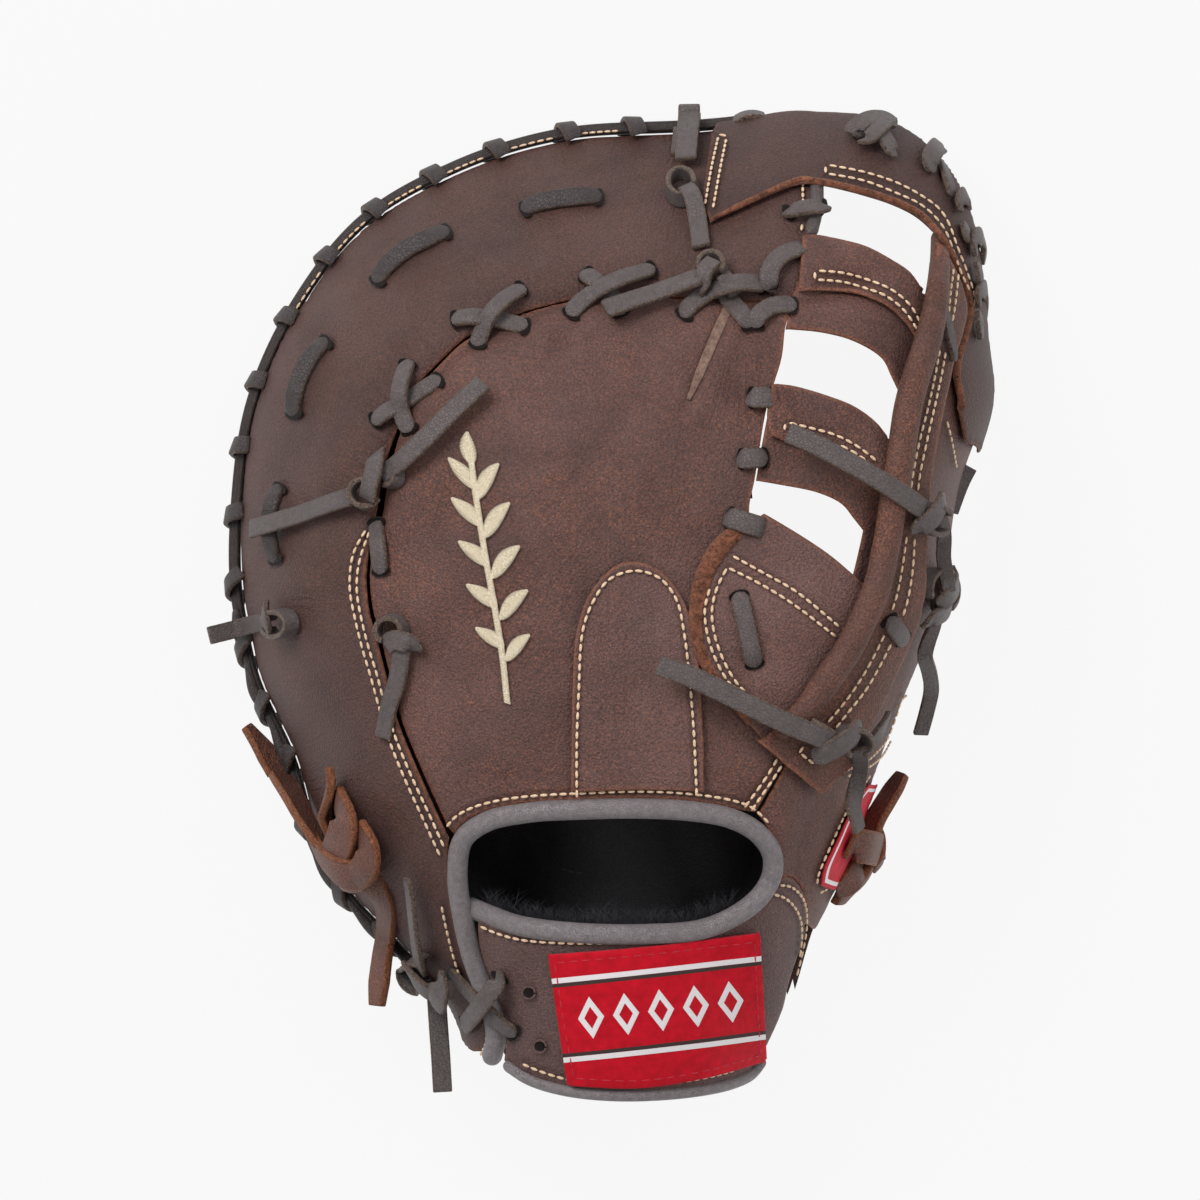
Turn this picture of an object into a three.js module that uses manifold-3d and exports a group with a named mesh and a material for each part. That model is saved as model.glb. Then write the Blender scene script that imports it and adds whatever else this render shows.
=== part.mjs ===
// A first baseman's mitt for the left hand, lying on its palm with the back of the hand up.
// Millimetres. +X points to the thumb side, +Y to the finger tips, +Z up, away from the pocket.
// The origin is on the floor, under the middle of the mitt.
import * as THREE from "three";
import { mergeVertices } from "three/addons/utils/BufferGeometryUtils.js";
import Module from "manifold-3d";

const wasm = await Module();
wasm.setup();

// Overall sizes
const LENGTH = 320; // bottom of the wrist strap to the top of the web
const WIDTH = 250; // little finger edge to the thumb edge
const BACK_HEIGHT = 100; // floor to the inside of the back
const POCKET_DEPTH = 60; // floor to the deepest point of the pocket
const RIM_HEIGHT = 34; // highest place of the edge where palm and back meet

// Leather and padding
const LEATHER = 2.4; // one outer panel
const FACING = 2; // a panel sewn on top of another
const LINING = 1.2;
const PALM_PAD = 8; // palm leather with its padding, at the pocket
const HEEL_PAD = 22; // and at the heel of the hand
const FLEECE = 5;
const LABEL = 0.9;
const LAYER_GAP = 0.45; // between one layer and the next
const SEAM = 0.9; // between two panels that meet edge to edge

// Rolled edges, as radii
const WRIST_ROLL = 3.3;
const STRAP_ROLL = 2;
const RIM_ROLL = 1.6;
const WEB_ROLL = 2;
const POST_ROLL = 4.8;

// Laces
const LACE_WIDTH = 5.2;
const LACE_THICK = 1.8;
const TIE_WIDTH = 9;
const TIE_THICK = 2.4;
const LACE_REACH = 7; // from the edge to the hole in the back that a rim lace goes into
const LACE_UNDER = 4; // and to its hole in the palm
const KNOT_RADIUS = 6;
const TIE_KNOT_RADIUS = 10;
const KNOT_FLAT = 0.8; // height of a knot as a share of its width
const KNOT_SEAT = 0.25; // how far a knot is pulled down into the gap under it

// How finely the curved sheets and rolls are faceted
const SHEET_CELLS = 16;
const ROLL_STEP = 11;

const LEATHER_TOP = LEATHER + LAYER_GAP;
const FACING_TOP = LEATHER_TOP + FACING + LAYER_GAP;

const brown = { color: 0x4a2f28, roughness: 0.78, metalness: 0 };
const suede = { color: 0x6b3b26, roughness: 0.95, metalness: 0 };
const grey = { color: 0x4b4443, roughness: 0.6, metalness: 0 };
const black = { color: 0x15161a, roughness: 0.7, metalness: 0 };
const red = { color: 0xb5122c, roughness: 0.85, metalness: 0 };

// The edge where the palm and the back meet, seen from above, anticlockwise from the thumb.
// x and y are percent of WIDTH and LENGTH, lift is the share of RIM_HEIGHT that it lies off the floor,
// crown and wall are the powers of the back's curve there: a high crown stays flat longer, and a wall
// of 2 comes down upright. sole is how far out the palm touches the floor, as a share of the reach.
const EDGE = [
  { x: 46.2, y: 0, lift: 0.26, crown: 6, wall: 2, sole: 0.84 },
  { x: 46, y: 6.3, lift: 0.26, crown: 6, wall: 2, sole: 0.84 },
  { x: 47.2, y: 13.4, lift: 0.26, crown: 6, wall: 2, sole: 0.84 },
  { x: 50.2, y: 22.6, lift: 0.3, crown: 5, wall: 1.8, sole: 0.86 },
  { x: 49.4, y: 32.4, lift: 0.36, crown: 4, wall: 1.6, sole: 0.88 },
  { x: 46, y: 41.4, lift: 0.36, crown: 3.4, wall: 1.4, sole: 0.88 },
  { x: 38.2, y: 47.7, lift: 0.34, crown: 3, wall: 1.3, sole: 0.88 },
  { x: 27.9, y: 48.9, lift: 0.3, crown: 3, wall: 1.2, sole: 0.88 },
  { x: 17.4, y: 47.5, lift: 0.27, crown: 2.8, wall: 1.15, sole: 0.88 },
  { x: 8.4, y: 46.8, lift: 0.26, crown: 2.7, wall: 1.1, sole: 0.88 },
  { x: -5.2, y: 46.1, lift: 0.26, crown: 2.7, wall: 1.1, sole: 0.88 },
  { x: -19.8, y: 42.5, lift: 0.26, crown: 2.9, wall: 1.15, sole: 0.88 },
  { x: -30.1, y: 37.7, lift: 0.26, crown: 3, wall: 1.2, sole: 0.88 },
  { x: -38.1, y: 29.8, lift: 0.26, crown: 3.2, wall: 1.25, sole: 0.88 },
  { x: -43.9, y: 19.8, lift: 0.26, crown: 3.3, wall: 1.3, sole: 0.88 },
  { x: -46, y: 9.6, lift: 0.26, crown: 3.4, wall: 1.35, sole: 0.88 },
  { x: -46.1, y: 0, lift: 0.26, crown: 3.6, wall: 1.4, sole: 0.88 },
  { x: -43.3, y: -9.1, lift: 0.28, crown: 3.8, wall: 1.5, sole: 0.86 },
  { x: -40.1, y: -16.7, lift: 0.34, crown: 4, wall: 1.6, sole: 0.84 },
  { x: -36.3, y: -23.8, lift: 0.46, crown: 4, wall: 1.6, sole: 0.81 },
  { x: -28.8, y: -32.1, lift: 0.7, crown: 4, wall: 1.6, sole: 0.76 },
  { x: -21.6, y: -37.8, lift: 0.9, crown: 3.8, wall: 1.5, sole: 0.72 },
  { x: -17.8, y: -42.8, lift: 0.95, crown: 3.4, wall: 1.4, sole: 0.68 },
  { x: -14.8, y: -50.2, lift: 1, crown: 3.1, wall: 1.3, sole: 0.64 },
  { x: -9.2, y: -58.6, lift: 1, crown: 3, wall: 1.2, sole: 0.62 },
  { x: 2.9, y: -64, lift: 1, crown: 3, wall: 1.2, sole: 0.62 },
  { x: 14.4, y: -57.9, lift: 1, crown: 3, wall: 1.2, sole: 0.62 },
  { x: 20, y: -48, lift: 1, crown: 3.2, wall: 1.3, sole: 0.66 },
  { x: 24.3, y: -40.7, lift: 0.95, crown: 3.8, wall: 1.6, sole: 0.72 },
  { x: 27.5, y: -33, lift: 0.85, crown: 4.4, wall: 1.8, sole: 0.76 },
  { x: 31.3, y: -27.2, lift: 0.65, crown: 5, wall: 2, sole: 0.8 },
  { x: 34.9, y: -21.3, lift: 0.44, crown: 5.4, wall: 2, sole: 0.82 },
  { x: 38.6, y: -14.1, lift: 0.3, crown: 6, wall: 2, sole: 0.84 },
  { x: 42.3, y: -7, lift: 0.26, crown: 6, wall: 2, sole: 0.84 },
];

// Outlines, seen from above, in percent of WIDTH and LENGTH
const WRIST_ROLL_LINE = [
  [-13.8, -45.8], [-13.3, -43.8], [-13.8, -41], [-15.2, -38.1], [-16.4, -35.5], [-17.5, -31.5], [-18.2, -27.2], [-17.4, -23.8],
  [-14.3, -22], [-9, -21.1], [-2.6, -20.8], [5.1, -20.7], [12, -21], [16.6, -21.7], [20, -23.1], [21.9, -25.2],
  [21.9, -27.4], [20.5, -29.4], [17.3, -31.4], [12.8, -32.8], [6.4, -33.2], [-2.6, -33.1], [-10.2, -32.4], [-14.5, -31.3],
];
const WRIST_HOLE = [
  [-17.7, -23.8], [-14.3, -21.8], [-9, -21.1], [5.1, -20.7], [16.6, -21.7], [21.9, -25.2], [21.9, -27.4],
  [17.3, -31.4], [6.4, -33.2], [-10.2, -32.4], [-17.2, -30.8], [-18.2, -27.2],
];
const STRAP_ROLL_LINE = [[-11.4, -46.7], [-9, -47.9], [-4.5, -48.9], [2.6, -49.4], [11.5, -49.1], [17.3, -48.3],];
const HEEL_CUT = [
  [-25.6, -45.4], [-17.9, -45.4], [-14.8, -45], [-12.3, -45.4], [-9, -47.9], [-4.5, -48.9], [2.6, -49.4], [11.5, -49.1], [17.5, -48.3],
  [21.8, -46], [29.4, -44], [38.4, -50], [38.4, -70], [-28.2, -70],
];
const FINGER_SEAM = [
  [33.3, 31.5], [24.3, 30.4], [17.3, 30.1], [11.5, 30.6], [2.6, 30.5], [-5.1, 29.8], [-12.2, 27.7], [-18.6, 24.8], [-23.7, 20.5],
  [-26.6, 16], [-27.9, 11], [-28.9, 6.5], [-30.7, 3.5], [-31, -1], [-29.2, -8], [-25.6, -15], [-21.8, -22], [-17.7, -27.2],
];
const THUMB_SEAM = [[17.3, -21.5], [20.5, -18.5], [25, -13], [29.2, -7.2], [32, -2], [33.5, 4],];
const STRAP_SEAM = [[21.5, -28], [25.3, -28.5], [27, -30.6], [27.1, -33.5], [27.1, -39], [32, -44],];
const WEB_OPENING = [
  [27.3, 56], [27.3, 50], [27.3, 41.4], [26.2, 36.5], [24.3, 30.8], [23, 25.5], [21.2, 20], [19.8, 14], [18.8, 8.8],
  [19.8, 5.5], [25.6, 2.8], [32, 0.8], [37.5, 0.8], [39.2, 6], [40.4, 12], [41.7, 18], [43.3, 23.2],
  [46.1, 25], [56.3, 25.5], [61.4, 50], [38.4, 60],
];
const HEEL_EDGE = [
  [-38.4, -36], [-25.6, -37.5], [-19.2, -42], [-10.2, -45.6], [0, -46.6], [10.2, -46.2], [18.6, -44], [24.3, -39],
  [29.4, -37], [44.8, -37], [44.8, -80], [-44.8, -80],
];
const FINGER_PAD = [
  [-3.7, -18.6], [-3.7, -18.6], [-3.5, -8], [-2.9, -3], [-1, 1], [2.8, 3.7], [7, 3.2], [10.6, 0], [12.4, -5.5],
  [13.1, -12], [13.3, -18.6], [13.3, -18.6],
];
const THUMB_BACK_EDGE = [
  [18.2, -11.8], [15.6, -9], [13.2, -6.4], [11.8, -4], [11.3, -1.2], [11.8, 1.5], [13.6, 4.7],
];
const THUMB_BACK = [
  [20.9, 8.6], [20.9, 8.6], [25, 6.9], [28.8, 5], [32.8, 2.4], [35.8, 1], [36.4, -2], [34.3, -6], [30.5, -10.5],
  [26.4, -13.5], [23.4, -14.8], [20.7, -14], ...THUMB_BACK_EDGE, [15.6, 6.9], [18.2, 7.8],
];
const POST_LINE = [
  [43.5, 35.3], [43.1, 32.8], [42.5, 29], [41.6, 25.5], [40.4, 22], [39.7, 18.5], [38.7, 13.2], [37.5, 10], [36.6, 6.3],
  [35.8, 2.5], [34.3, -1.5], [32, -5.5], [28.2, -9.8], [24.8, -12.2],
];
const POST_FLANGE = [
  [43.5, 35], [43.5, 35], [44.8, 34.8], [45.7, 32], [46.1, 29], [45.7, 25.7], [45.1, 22.1], [44.2, 18.6], [43, 14],
  [42.4, 10], [42.1, 6], [42, 1.6], [41.1, -2.2], [39.2, -6.1], [36.9, -10], [34.6, -13.5], [32.8, -17.6], [32.8, -17.6],
  [28.9, -19.4], [28.9, -19.4], [24.3, -16.6], [20.2, -14.1], [20.2, -14.1], [22.4, -12.6], [28.2, -9.8], [32, -5.5], [34.3, -1.5],
  [35.8, 2.5], [36.6, 6.3], [37.5, 10], [38.7, 13.2], [39.7, 18.5], [40.4, 22], [41.6, 25.5], [42.5, 29],
];
const WEB_STRAP = [
  [14.3, 47.2], [13.3, 42.4], [13.8, 38.2], [13.8, 38.2], [17.7, 39.7], [21.4, 41], [26, 42.3], [29.4, 42.1], [33.5, 41.1],
  [37.4, 40.1], [39.9, 39], [42.2, 37.7], [45.1, 36.8], [46.7, 34.5], [47.6, 31], [48.1, 28], [47.4, 25.5], [46.5, 23],
  [46.8, 19.2], [46.8, 19.2], [48.6, 21], [52.5, 24], [58.9, 35], [51.2, 48], [38.4, 56], [20.5, 56], [15.4, 52],
];
const UPPER_BAR = [
  [26.5, 36.7], [26.5, 36.7], [29.8, 36.3], [33.8, 35.4], [37.8, 33.9], [40.7, 32], [42.8, 30], [42.2, 27], [40.7, 23.5],
  [38.9, 21], [37.5, 20.7], [36.9, 22.8], [35.8, 24.7], [32.5, 26.2], [28.5, 27], [24.1, 27.4], [24.1, 27.4], [25, 30.8],
];
const UPPER_BAR_FACING = [
  [26.5, 36.6], [26.5, 36.6], [29.8, 36.2], [33.8, 35.3], [37.8, 33.8], [40.7, 31.9], [42.2, 30], [41.5, 27.2], [40.4, 26.8],
  [38.4, 28.8], [35.1, 30.1], [30.6, 31], [25.2, 31.3], [25.2, 31.3],
];
const LOWER_BAR = [
  [22.4, 21.6], [22.4, 21.6], [25.9, 21.1], [29.8, 20.2], [33.8, 18.7], [37.2, 17], [39.2, 15.2], [38.9, 12], [37.4, 8.5],
  [34.3, 6.8], [32.1, 8.5], [30.3, 9.8], [27.1, 10.8], [23.3, 11.4], [20.4, 12], [20.4, 12],
];
const LOWER_BAR_FACING = [
  [22.4, 21.5], [22.4, 21.5], [25.9, 21], [29.8, 20.1], [33.8, 18.6], [37.1, 16.9], [39, 15.1], [38.4, 12.6], [36.4, 13],
  [33.3, 14.1], [28.8, 15.2], [23.7, 15.9], [21.5, 16.2], [21.5, 16.2],
];
const THUMB_PATCH = [
  [31.1, -25.2], [31.9, -23.5], [33, -21.2], [34.3, -19.2], [35.1, -18.4], [35.1, -19.7], [33.8, -22.6], [32.5, -25], [31.5, -26],
];
const LABEL_MIDDLE = [7.7, -40.8];
const LABEL_WIDTH = 66;
const LABEL_HEIGHT = 40;
const LABEL_TURN = 6.5; // degrees
const LINING_OUTLINE = [
  [-18.6, -26], [-15.4, -16], [-5.1, -10], [10.2, -10], [21.8, -16], [25.6, -26], [21.8, -37], [10.2, -42], [-5.1, -42], [-15.4, -36],
];
const FLEECE_OUTLINE = [
  [-10.9, -35], [-5.1, -35], [5.1, -35.2], [12.8, -34.9], [18.6, -34], [20, -36.5], [18.2, -43], [12.8, -45.8], [2.6, -46.2],
  [-5.1, -45.2], [-9.2, -43], [-10.5, -38.5],
];
const WEB_ROLL_LINE = [[27.8, 41.4], [27.5, 39], [26.8, 37.1],];

// Where the whip lace crosses the edge, in degrees from the thumb side
const RIM_LACE_AT = [86, 94, 103, 111.5, 120, 128.6, 138, 147.6, 157, 167, 177.6, 188, 198, 208, 217, 229, 238];
const RIM_ROLL_FROM = 79;
const RIM_ROLL_TO = 246;
const WEB_LACE_AT = [49.5, 44.8, 41.3, 37.6];

// Laces that lie on the back. from and to are the holes, as in the outlines; over is how many layers
// and laces they pass over, and rise is how far their middle stands off, in lace thicknesses.
const BACK_LACES = [
  { name: "lace_finger_a", from: [-10.1, 39.1], to: [0.1, 40.5], over: 0, rise: 0.3, wide: 1 },
  { name: "lace_finger_b", from: [-28.8, 31.7], to: [-19.5, 37], over: 0, rise: 0.3, wide: 1 },
  { name: "lace_finger_c", from: [-39, 18.5], to: [-35.2, 26.1], over: -0.1, rise: 0.3, wide: 1 },
  { name: "lace_finger_d", from: [-41.7, 4], to: [-41, 11.4], over: 0, rise: 0.3, wide: 1 },
  { name: "lace_cross_a_under", from: [-18.8, 28.1], to: [-9.3, 27.3], over: 0, rise: 0.5, wide: 1 },
  { name: "lace_cross_a_over", from: [-15.5, 25.4], to: [-9.7, 31.1], over: 0, rise: 2.8, wide: 1 },
  { name: "lace_cross_b_under", from: [-28.8, 17.7], to: [-20.6, 22.1], over: 0, rise: 0.5, wide: 1 },
  { name: "lace_cross_b_over", from: [-23.9, 16.8], to: [-24.6, 23.6], over: 0, rise: 2.8, wide: 1 },
  { name: "lace_cross_c_under", from: [-1.7, 32.5], to: [2.8, 28.6], over: 0.1, rise: 0.5, wide: 1 },
  { name: "lace_cross_c_over", from: [-3.7, 28.1], to: [6.8, 33.1], over: 0, rise: 2.8, wide: 1 },
  { name: "lace_cross_d_under", from: [15.2, 31.9], to: [19.5, 27.2], over: 0, rise: 0.5, wide: 1 },
  { name: "lace_cross_d_over", from: [10.4, 28.1], to: [21, 30.9], over: 0, rise: 3.3, wide: 1 },
  { name: "lace_seam", from: [-28.4, 7.3], to: [-28.2, 2.6], over: 0, rise: 0.5, wide: 1.1 },
  { name: "lace_thumb_slot", from: [17.4, 0.5], to: [19.6, -6.4], over: 1, rise: 0.3, wide: 1.1 },
  { name: "lace_post", from: [37, -1.3], to: [38.9, -4.5], over: 2, rise: 0.2, wide: 1.2 },
  { name: "lace_strap_under", from: [-19.2, -37.5], to: [-11.1, -43.3], over: 0.9, rise: 0.2, wide: 1 },
  { name: "lace_strap_over", from: [-13.2, -37.7], to: [-17, -42.4], over: 0.9, rise: 2.8, wide: 1.1 },
  { name: "lace_upper_bar", from: [21.5, 27.8], to: [24.4, 29.5], over: -0.1, rise: 0.3, wide: 1.1 },
  { name: "lace_lower_bar_a", from: [18.6, 20], to: [21.6, 20.2], over: -0.15, rise: 0.2, wide: 1.2 },
  { name: "lace_lower_bar_b", from: [17.4, 14], to: [20.4, 14.3], over: -0.1, rise: 0.3, wide: 1.2 },
  { name: "lace_thumb_back", from: [16.1, 8.1], to: [20.5, 8], over: 1, rise: 0.2, wide: 1.2 },
  { name: "lace_web_roll", from: [23.9, 38.7], to: [28.4, 38.9], over: 0.3, rise: 0.2, wide: 1.1 },
];

// Knotted laces: the knot's place, and for each tail the places that it passes with how far it stands
// off the back there.
const KNOTS = [
  { name: "knot_top", at: [10.6, 41.5], over: 0, tails: [[[13.2, 35.1, 1]]] },
  { name: "knot_finger_seam", at: [14.3, 33.8], over: 0, tails: [[[1.2, 29.4, 8]]] },
  { name: "knot_palm_seam", at: [-29.3, 11.3], over: 0, tails: [[[-14.8, 21.4, 5]], [[-44.7, 7.1, 4]]] },
  { name: "knot_back", at: [-26.1, -3.4], over: 0, tails: [[[-27.6, -13.4, 1]]] },
  { name: "knot_little_finger", at: [-41.5, -2.4], over: 0, tails: [[[-49.7, -3.4, 12]]] },
  { name: "knot_heel", at: [-23, -37.2], over: 0.1, tails: [[[-24.3, -28.4, 2]], [[-20.7, -48.8, 22]]] },
  { name: "knot_post_upper", at: [41.5, 8], over: 2, tails: [[[37, 10, 15], [23.8, 16.3, 9]]] },
  { name: "knot_post_lower", at: [31, -14.2], over: 1.85, tails: [[[25.6, -12.2, 15], [7.7, -6.5, 8]], [[32.8, -22.6, 6]]] },
  { name: "knot_thumb", at: [43, -0.4], over: 2, tails: [[[41.6, -13.4, 6]]] },
];
const TIES = [
  { name: "tie_little_finger", at: [-32.4, -24.5], over: 0, tails: [[[-44.8, -13.2, 6]], [[-28.4, -40.2, 14]]] },
  { name: "tie_thumb", at: [32, -28.4], over: 0, tails: [[[38.9, -17.8, 10]]] },
];
const TOP_TAIL = { at: 81, reach: 15, wide: 0.9 };

// A place inside each panel of the back
const PANELS = {
  outer_back: [-38.4, 10],
  hand_back: [0, 15],
  thumb_shell: [32, -9],
  wrist_strap: [6.4, -40],
};

const DEGREE = Math.PI / 180;
const TURN = 2 * Math.PI;
const EDGE_INSET = RIM_ROLL + LAYER_GAP + LEATHER; // from the middle of the rolled edge to the panels
const NEAR_EDGE = 0.9995; // the last share of the reach where the back has a slope that can be measured
const SOLE_BAND = 0.05; // width of the flat that the palm stands on, as a share of the reach
const CUT_TOP = BACK_HEIGHT + 60;
const CUT_BOTTOM = -20;

function place([x, y]) {
  return new THREE.Vector2((x * WIDTH) / 100, (y * LENGTH) / 100);
}

const edgeRows = EDGE.map((row) => {
  const spot = place([row.x, row.y]);
  const angle = (Math.atan2(spot.y, spot.x) + TURN) % TURN;
  return { ...row, angle, reach: spot.length() };
}).sort((a, b) => a.angle - b.angle);

// One row of the edge between the table's rows, on a cubic that closes round the mitt
function edgeAt(direction) {
  const angle = ((direction % TURN) + TURN) % TURN;
  const count = edgeRows.length;
  const found = edgeRows.findIndex((row) => row.angle > angle);
  const next = found < 0 ? count : found;
  const rows = [next - 2, next - 1, next, next + 1].map((index) => {
    const lap = Math.floor(index / count);
    const row = edgeRows[index - lap * count];
    return { row, angle: row.angle + lap * TURN };
  });
  const span = rows[2].angle - rows[1].angle;
  const t = (angle - rows[1].angle) / span;
  const edge = {};
  for (const column of ["reach", "lift", "crown", "wall", "sole"]) {
    const [a, b, c, d] = rows.map((entry) => entry.row[column]);
    const slopeIn = ((c - a) / (rows[2].angle - rows[0].angle)) * span;
    const slopeOut = ((d - b) / (rows[3].angle - rows[1].angle)) * span;
    edge[column] =
      b * (2 * t ** 3 - 3 * t ** 2 + 1) +
      slopeIn * (t ** 3 - 2 * t ** 2 + t) +
      c * (3 * t ** 2 - 2 * t ** 3) +
      slopeOut * (t ** 3 - t ** 2);
  }
  edge.reach -= EDGE_INSET;
  edge.lift *= RIM_HEIGHT;
  return edge;
}

// The inside of the back, by the share of the way out to the edge and the direction
function backAt(share, angle) {
  const edge = edgeAt(angle);
  const rise = (1 - share ** edge.crown) ** (1 / edge.wall);
  const out = edge.reach * share;
  return new THREE.Vector3(
    out * Math.cos(angle),
    out * Math.sin(angle),
    edge.lift + (BACK_HEIGHT - edge.lift) * rise
  );
}

function backNormal(share, angle) {
  const step = 0.002;
  const inner = share > 0.5 ? share - step : share;
  const outward = backAt(inner + step, angle).sub(backAt(inner, angle));
  const around = backAt(share, angle + step).sub(backAt(share, angle - step));
  return outward.cross(around).normalize();
}

function offBack(share, angle, offset) {
  const held = Math.min(Math.max(share, 0.01), NEAR_EDGE);
  const point = backAt(held, angle);
  return point.addScaledVector(backNormal(held, angle), offset);
}

// The point that stands off the back and is seen at x, y from above, with the back's normal there
function above(x, y, offset) {
  const base = new THREE.Vector2(x, y);
  let point;
  let normal;
  for (let round = 0; round < 6; round += 1) {
    const angle = Math.atan2(base.y, base.x);
    const reach = edgeAt(angle).reach;
    const share = Math.min(Math.max(base.length() / reach, 0.01), NEAR_EDGE);
    const past = Math.max(base.length() - reach * NEAR_EDGE, 0);
    normal = backNormal(share, angle);
    point = backAt(share, angle).addScaledVector(normal, offset);
    point.x += past * Math.cos(angle);
    point.y += past * Math.sin(angle);
    base.x += 0.8 * (x - point.x);
    base.y += 0.8 * (y - point.y);
  }
  return { point, normal };
}

function smoothStep(from, to, value) {
  const t = Math.min(Math.max((value - from) / (to - from), 0), 1);
  return t * t * (3 - 2 * t);
}

// The outside of the palm: a bowl, the flat that it stands on, and the climb to the edge
function palmAt(share, angle) {
  const edge = edgeAt(angle);
  const flatEnd = edge.sole + SOLE_BAND;
  const top = edge.lift - LAYER_GAP - LEATHER;
  let height = 0;
  if (share < edge.sole) height = POCKET_DEPTH * (1 - (share / edge.sole) ** 2.2);
  if (share > flatEnd) height = (top * (share - flatEnd)) / (1 - flatEnd);
  const out = edge.reach * share;
  return new THREE.Vector3(out * Math.cos(angle), out * Math.sin(angle), height);
}

// The inside of the palm, above its padding
function palmInside(share, angle) {
  const point = palmAt(share, angle);
  const edge = edgeAt(angle);
  const heel = smoothStep(-LENGTH * 0.18, -LENGTH * 0.36, point.y);
  const pad = PALM_PAD + (HEEL_PAD - PALM_PAD) * heel;
  const thin = smoothStep(edge.sole * 0.7, 1, share);
  point.z += pad + (LEATHER - pad) * thin;
  return point;
}

function solidOf(geometry) {
  geometry.deleteAttribute("normal");
  geometry.deleteAttribute("uv");
  const merged = mergeVertices(geometry, 1e-4);
  return new wasm.Manifold(
    new wasm.Mesh({
      numProp: 3,
      vertProperties: new Float32Array(merged.attributes.position.array),
      triVerts: new Uint32Array(merged.index.array),
    })
  );
}

function geometryOf(solid) {
  const mesh = solid.getMesh();
  const geometry = new THREE.BufferGeometry();
  geometry.setAttribute("position", new THREE.BufferAttribute(mesh.vertProperties, 3));
  geometry.setIndex(new THREE.BufferAttribute(mesh.triVerts, 1));
  geometry.computeVertexNormals();
  return geometry;
}

// A square of cells bent to a round sheet with two faces. low and high give a point from the share
// of the way out and the direction; rings gives that share from the square's own.
function sheet(low, high, rings) {
  const geometry = new THREE.BoxGeometry(2, 2, 2, SHEET_CELLS, SHEET_CELLS, 1);
  const position = geometry.attributes.position;
  for (let index = 0; index < position.count; index += 1) {
    const x = position.getX(index);
    const y = position.getY(index);
    const ring = Math.max(Math.abs(x), Math.abs(y));
    let angle = 0;
    if (ring > 0) {
      const flat = Math.abs(x) >= Math.abs(y);
      angle = flat ? (Math.PI / 4) * (y / x) : Math.PI / 2 - (Math.PI / 4) * (x / y);
      if (flat ? x < 0 : y < 0) angle += Math.PI;
    }
    const share = rings(ring, angle);
    const point = position.getZ(index) < 0 ? low(share, angle) : high(share, angle);
    position.setXYZ(index, point.x, point.y, point.z);
  }
  matchFaces(geometry);
  return solidOf(geometry);
}

// Turns the diagonals of the lower face to run as those of the upper one do, so that the faces of
// two sheets that lie on each other are cut into the same triangles
function matchFaces(geometry) {
  const lower = geometry.groups[5];
  const corners = geometry.index.array;
  for (let start = lower.start; start < lower.start + lower.count; start += 6) {
    const [a, b, d, , c] = corners.slice(start, start + 6);
    corners.set([a, b, c, a, c, d], start);
  }
}

function backSheet(from, to) {
  const rings = (ring) => 1 - (1 - ring) ** 2;
  return sheet((s, a) => offBack(s, a, from), (s, a) => offBack(s, a, to), rings);
}

// The outline as one smooth line. A place given twice is a corner.
function smoothLine(table) {
  const runs = [[]];
  let corners = 0;
  table.map(place).forEach((spot, index, all) => {
    runs.at(-1).push(spot);
    if (index + 1 < all.length && spot.equals(all[index + 1])) {
      corners += 1;
      runs.push([]);
    }
  });
  if (corners === 0) {
    const loop = runs[0].map((spot) => new THREE.Vector3(spot.x, spot.y, 0));
    const curve = new THREE.CatmullRomCurve3(loop, true, "centripetal");
    return curve.getPoints(2 * loop.length).map((spot) => new THREE.Vector2(spot.x, spot.y));
  }
  runs[0] = [...runs.pop(), ...runs[0]];
  return runs.filter((run) => run.length > 1).flatMap((run) => {
    return new THREE.SplineCurve(run).getPoints(2 * (run.length - 1));
  });
}

function prism(spots) {
  const shape = new THREE.Shape(spots);
  const geometry = new THREE.ExtrudeGeometry(shape, { depth: CUT_TOP - CUT_BOTTOM, bevelEnabled: false });
  geometry.translate(0, 0, CUT_BOTTOM);
  return solidOf(geometry);
}

// An upright wall along a line seen from above
function wallAlong(table, width) {
  const spots = table.map((row) => {
    const spot = place(row);
    return new THREE.Vector3(spot.x, spot.y, 0);
  });
  const curve = new THREE.CatmullRomCurve3(spots, false, "centripetal");
  const line = curve.getPoints(2 * (spots.length - 1));
  const ends = [line[0].clone().sub(line[1]), line.at(-1).clone().sub(line.at(-2))];
  line[0].add(ends[0].setLength(width / 2));
  line.at(-1).add(ends[1].setLength(width / 2));
  const side = (sign) => {
    return line.map((spot, index) => {
      const before = line[Math.max(index - 1, 0)];
      const after = line[Math.min(index + 1, line.length - 1)];
      const along = after.clone().sub(before).normalize();
      return new THREE.Vector2(
        spot.x - (sign * along.y * width) / 2,
        spot.y + (sign * along.x * width) / 2
      );
    });
  };
  return prism([...side(1), ...side(-1).reverse()]);
}

function partAt(solid, spot) {
  const rod = new THREE.BoxGeometry(1, 1, CUT_TOP - CUT_BOTTOM);
  rod.translate(spot.x, spot.y, (CUT_TOP + CUT_BOTTOM) / 2);
  const probe = solidOf(rod);
  return solid.decompose().find((piece) => !piece.intersect(probe).isEmpty());
}

// A roll of leather along points of the back, as a round tube with closed ends
function roll(points, radius, sides) {
  const curve = new THREE.CatmullRomCurve3(points, false, "centripetal");
  const section = new THREE.Shape();
  for (let side = 0; side < sides; side += 1) {
    const angle = (side / sides) * TURN;
    const [x, y] = [radius * Math.cos(angle), radius * Math.sin(angle)];
    if (side === 0) section.moveTo(x, y);
    else section.lineTo(x, y);
  }
  section.closePath();
  const steps = Math.max(2, Math.round(curve.getLength() / ROLL_STEP));
  return solidOf(new THREE.ExtrudeGeometry(section, { extrudePath: curve, steps, bevelEnabled: false }));
}

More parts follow.
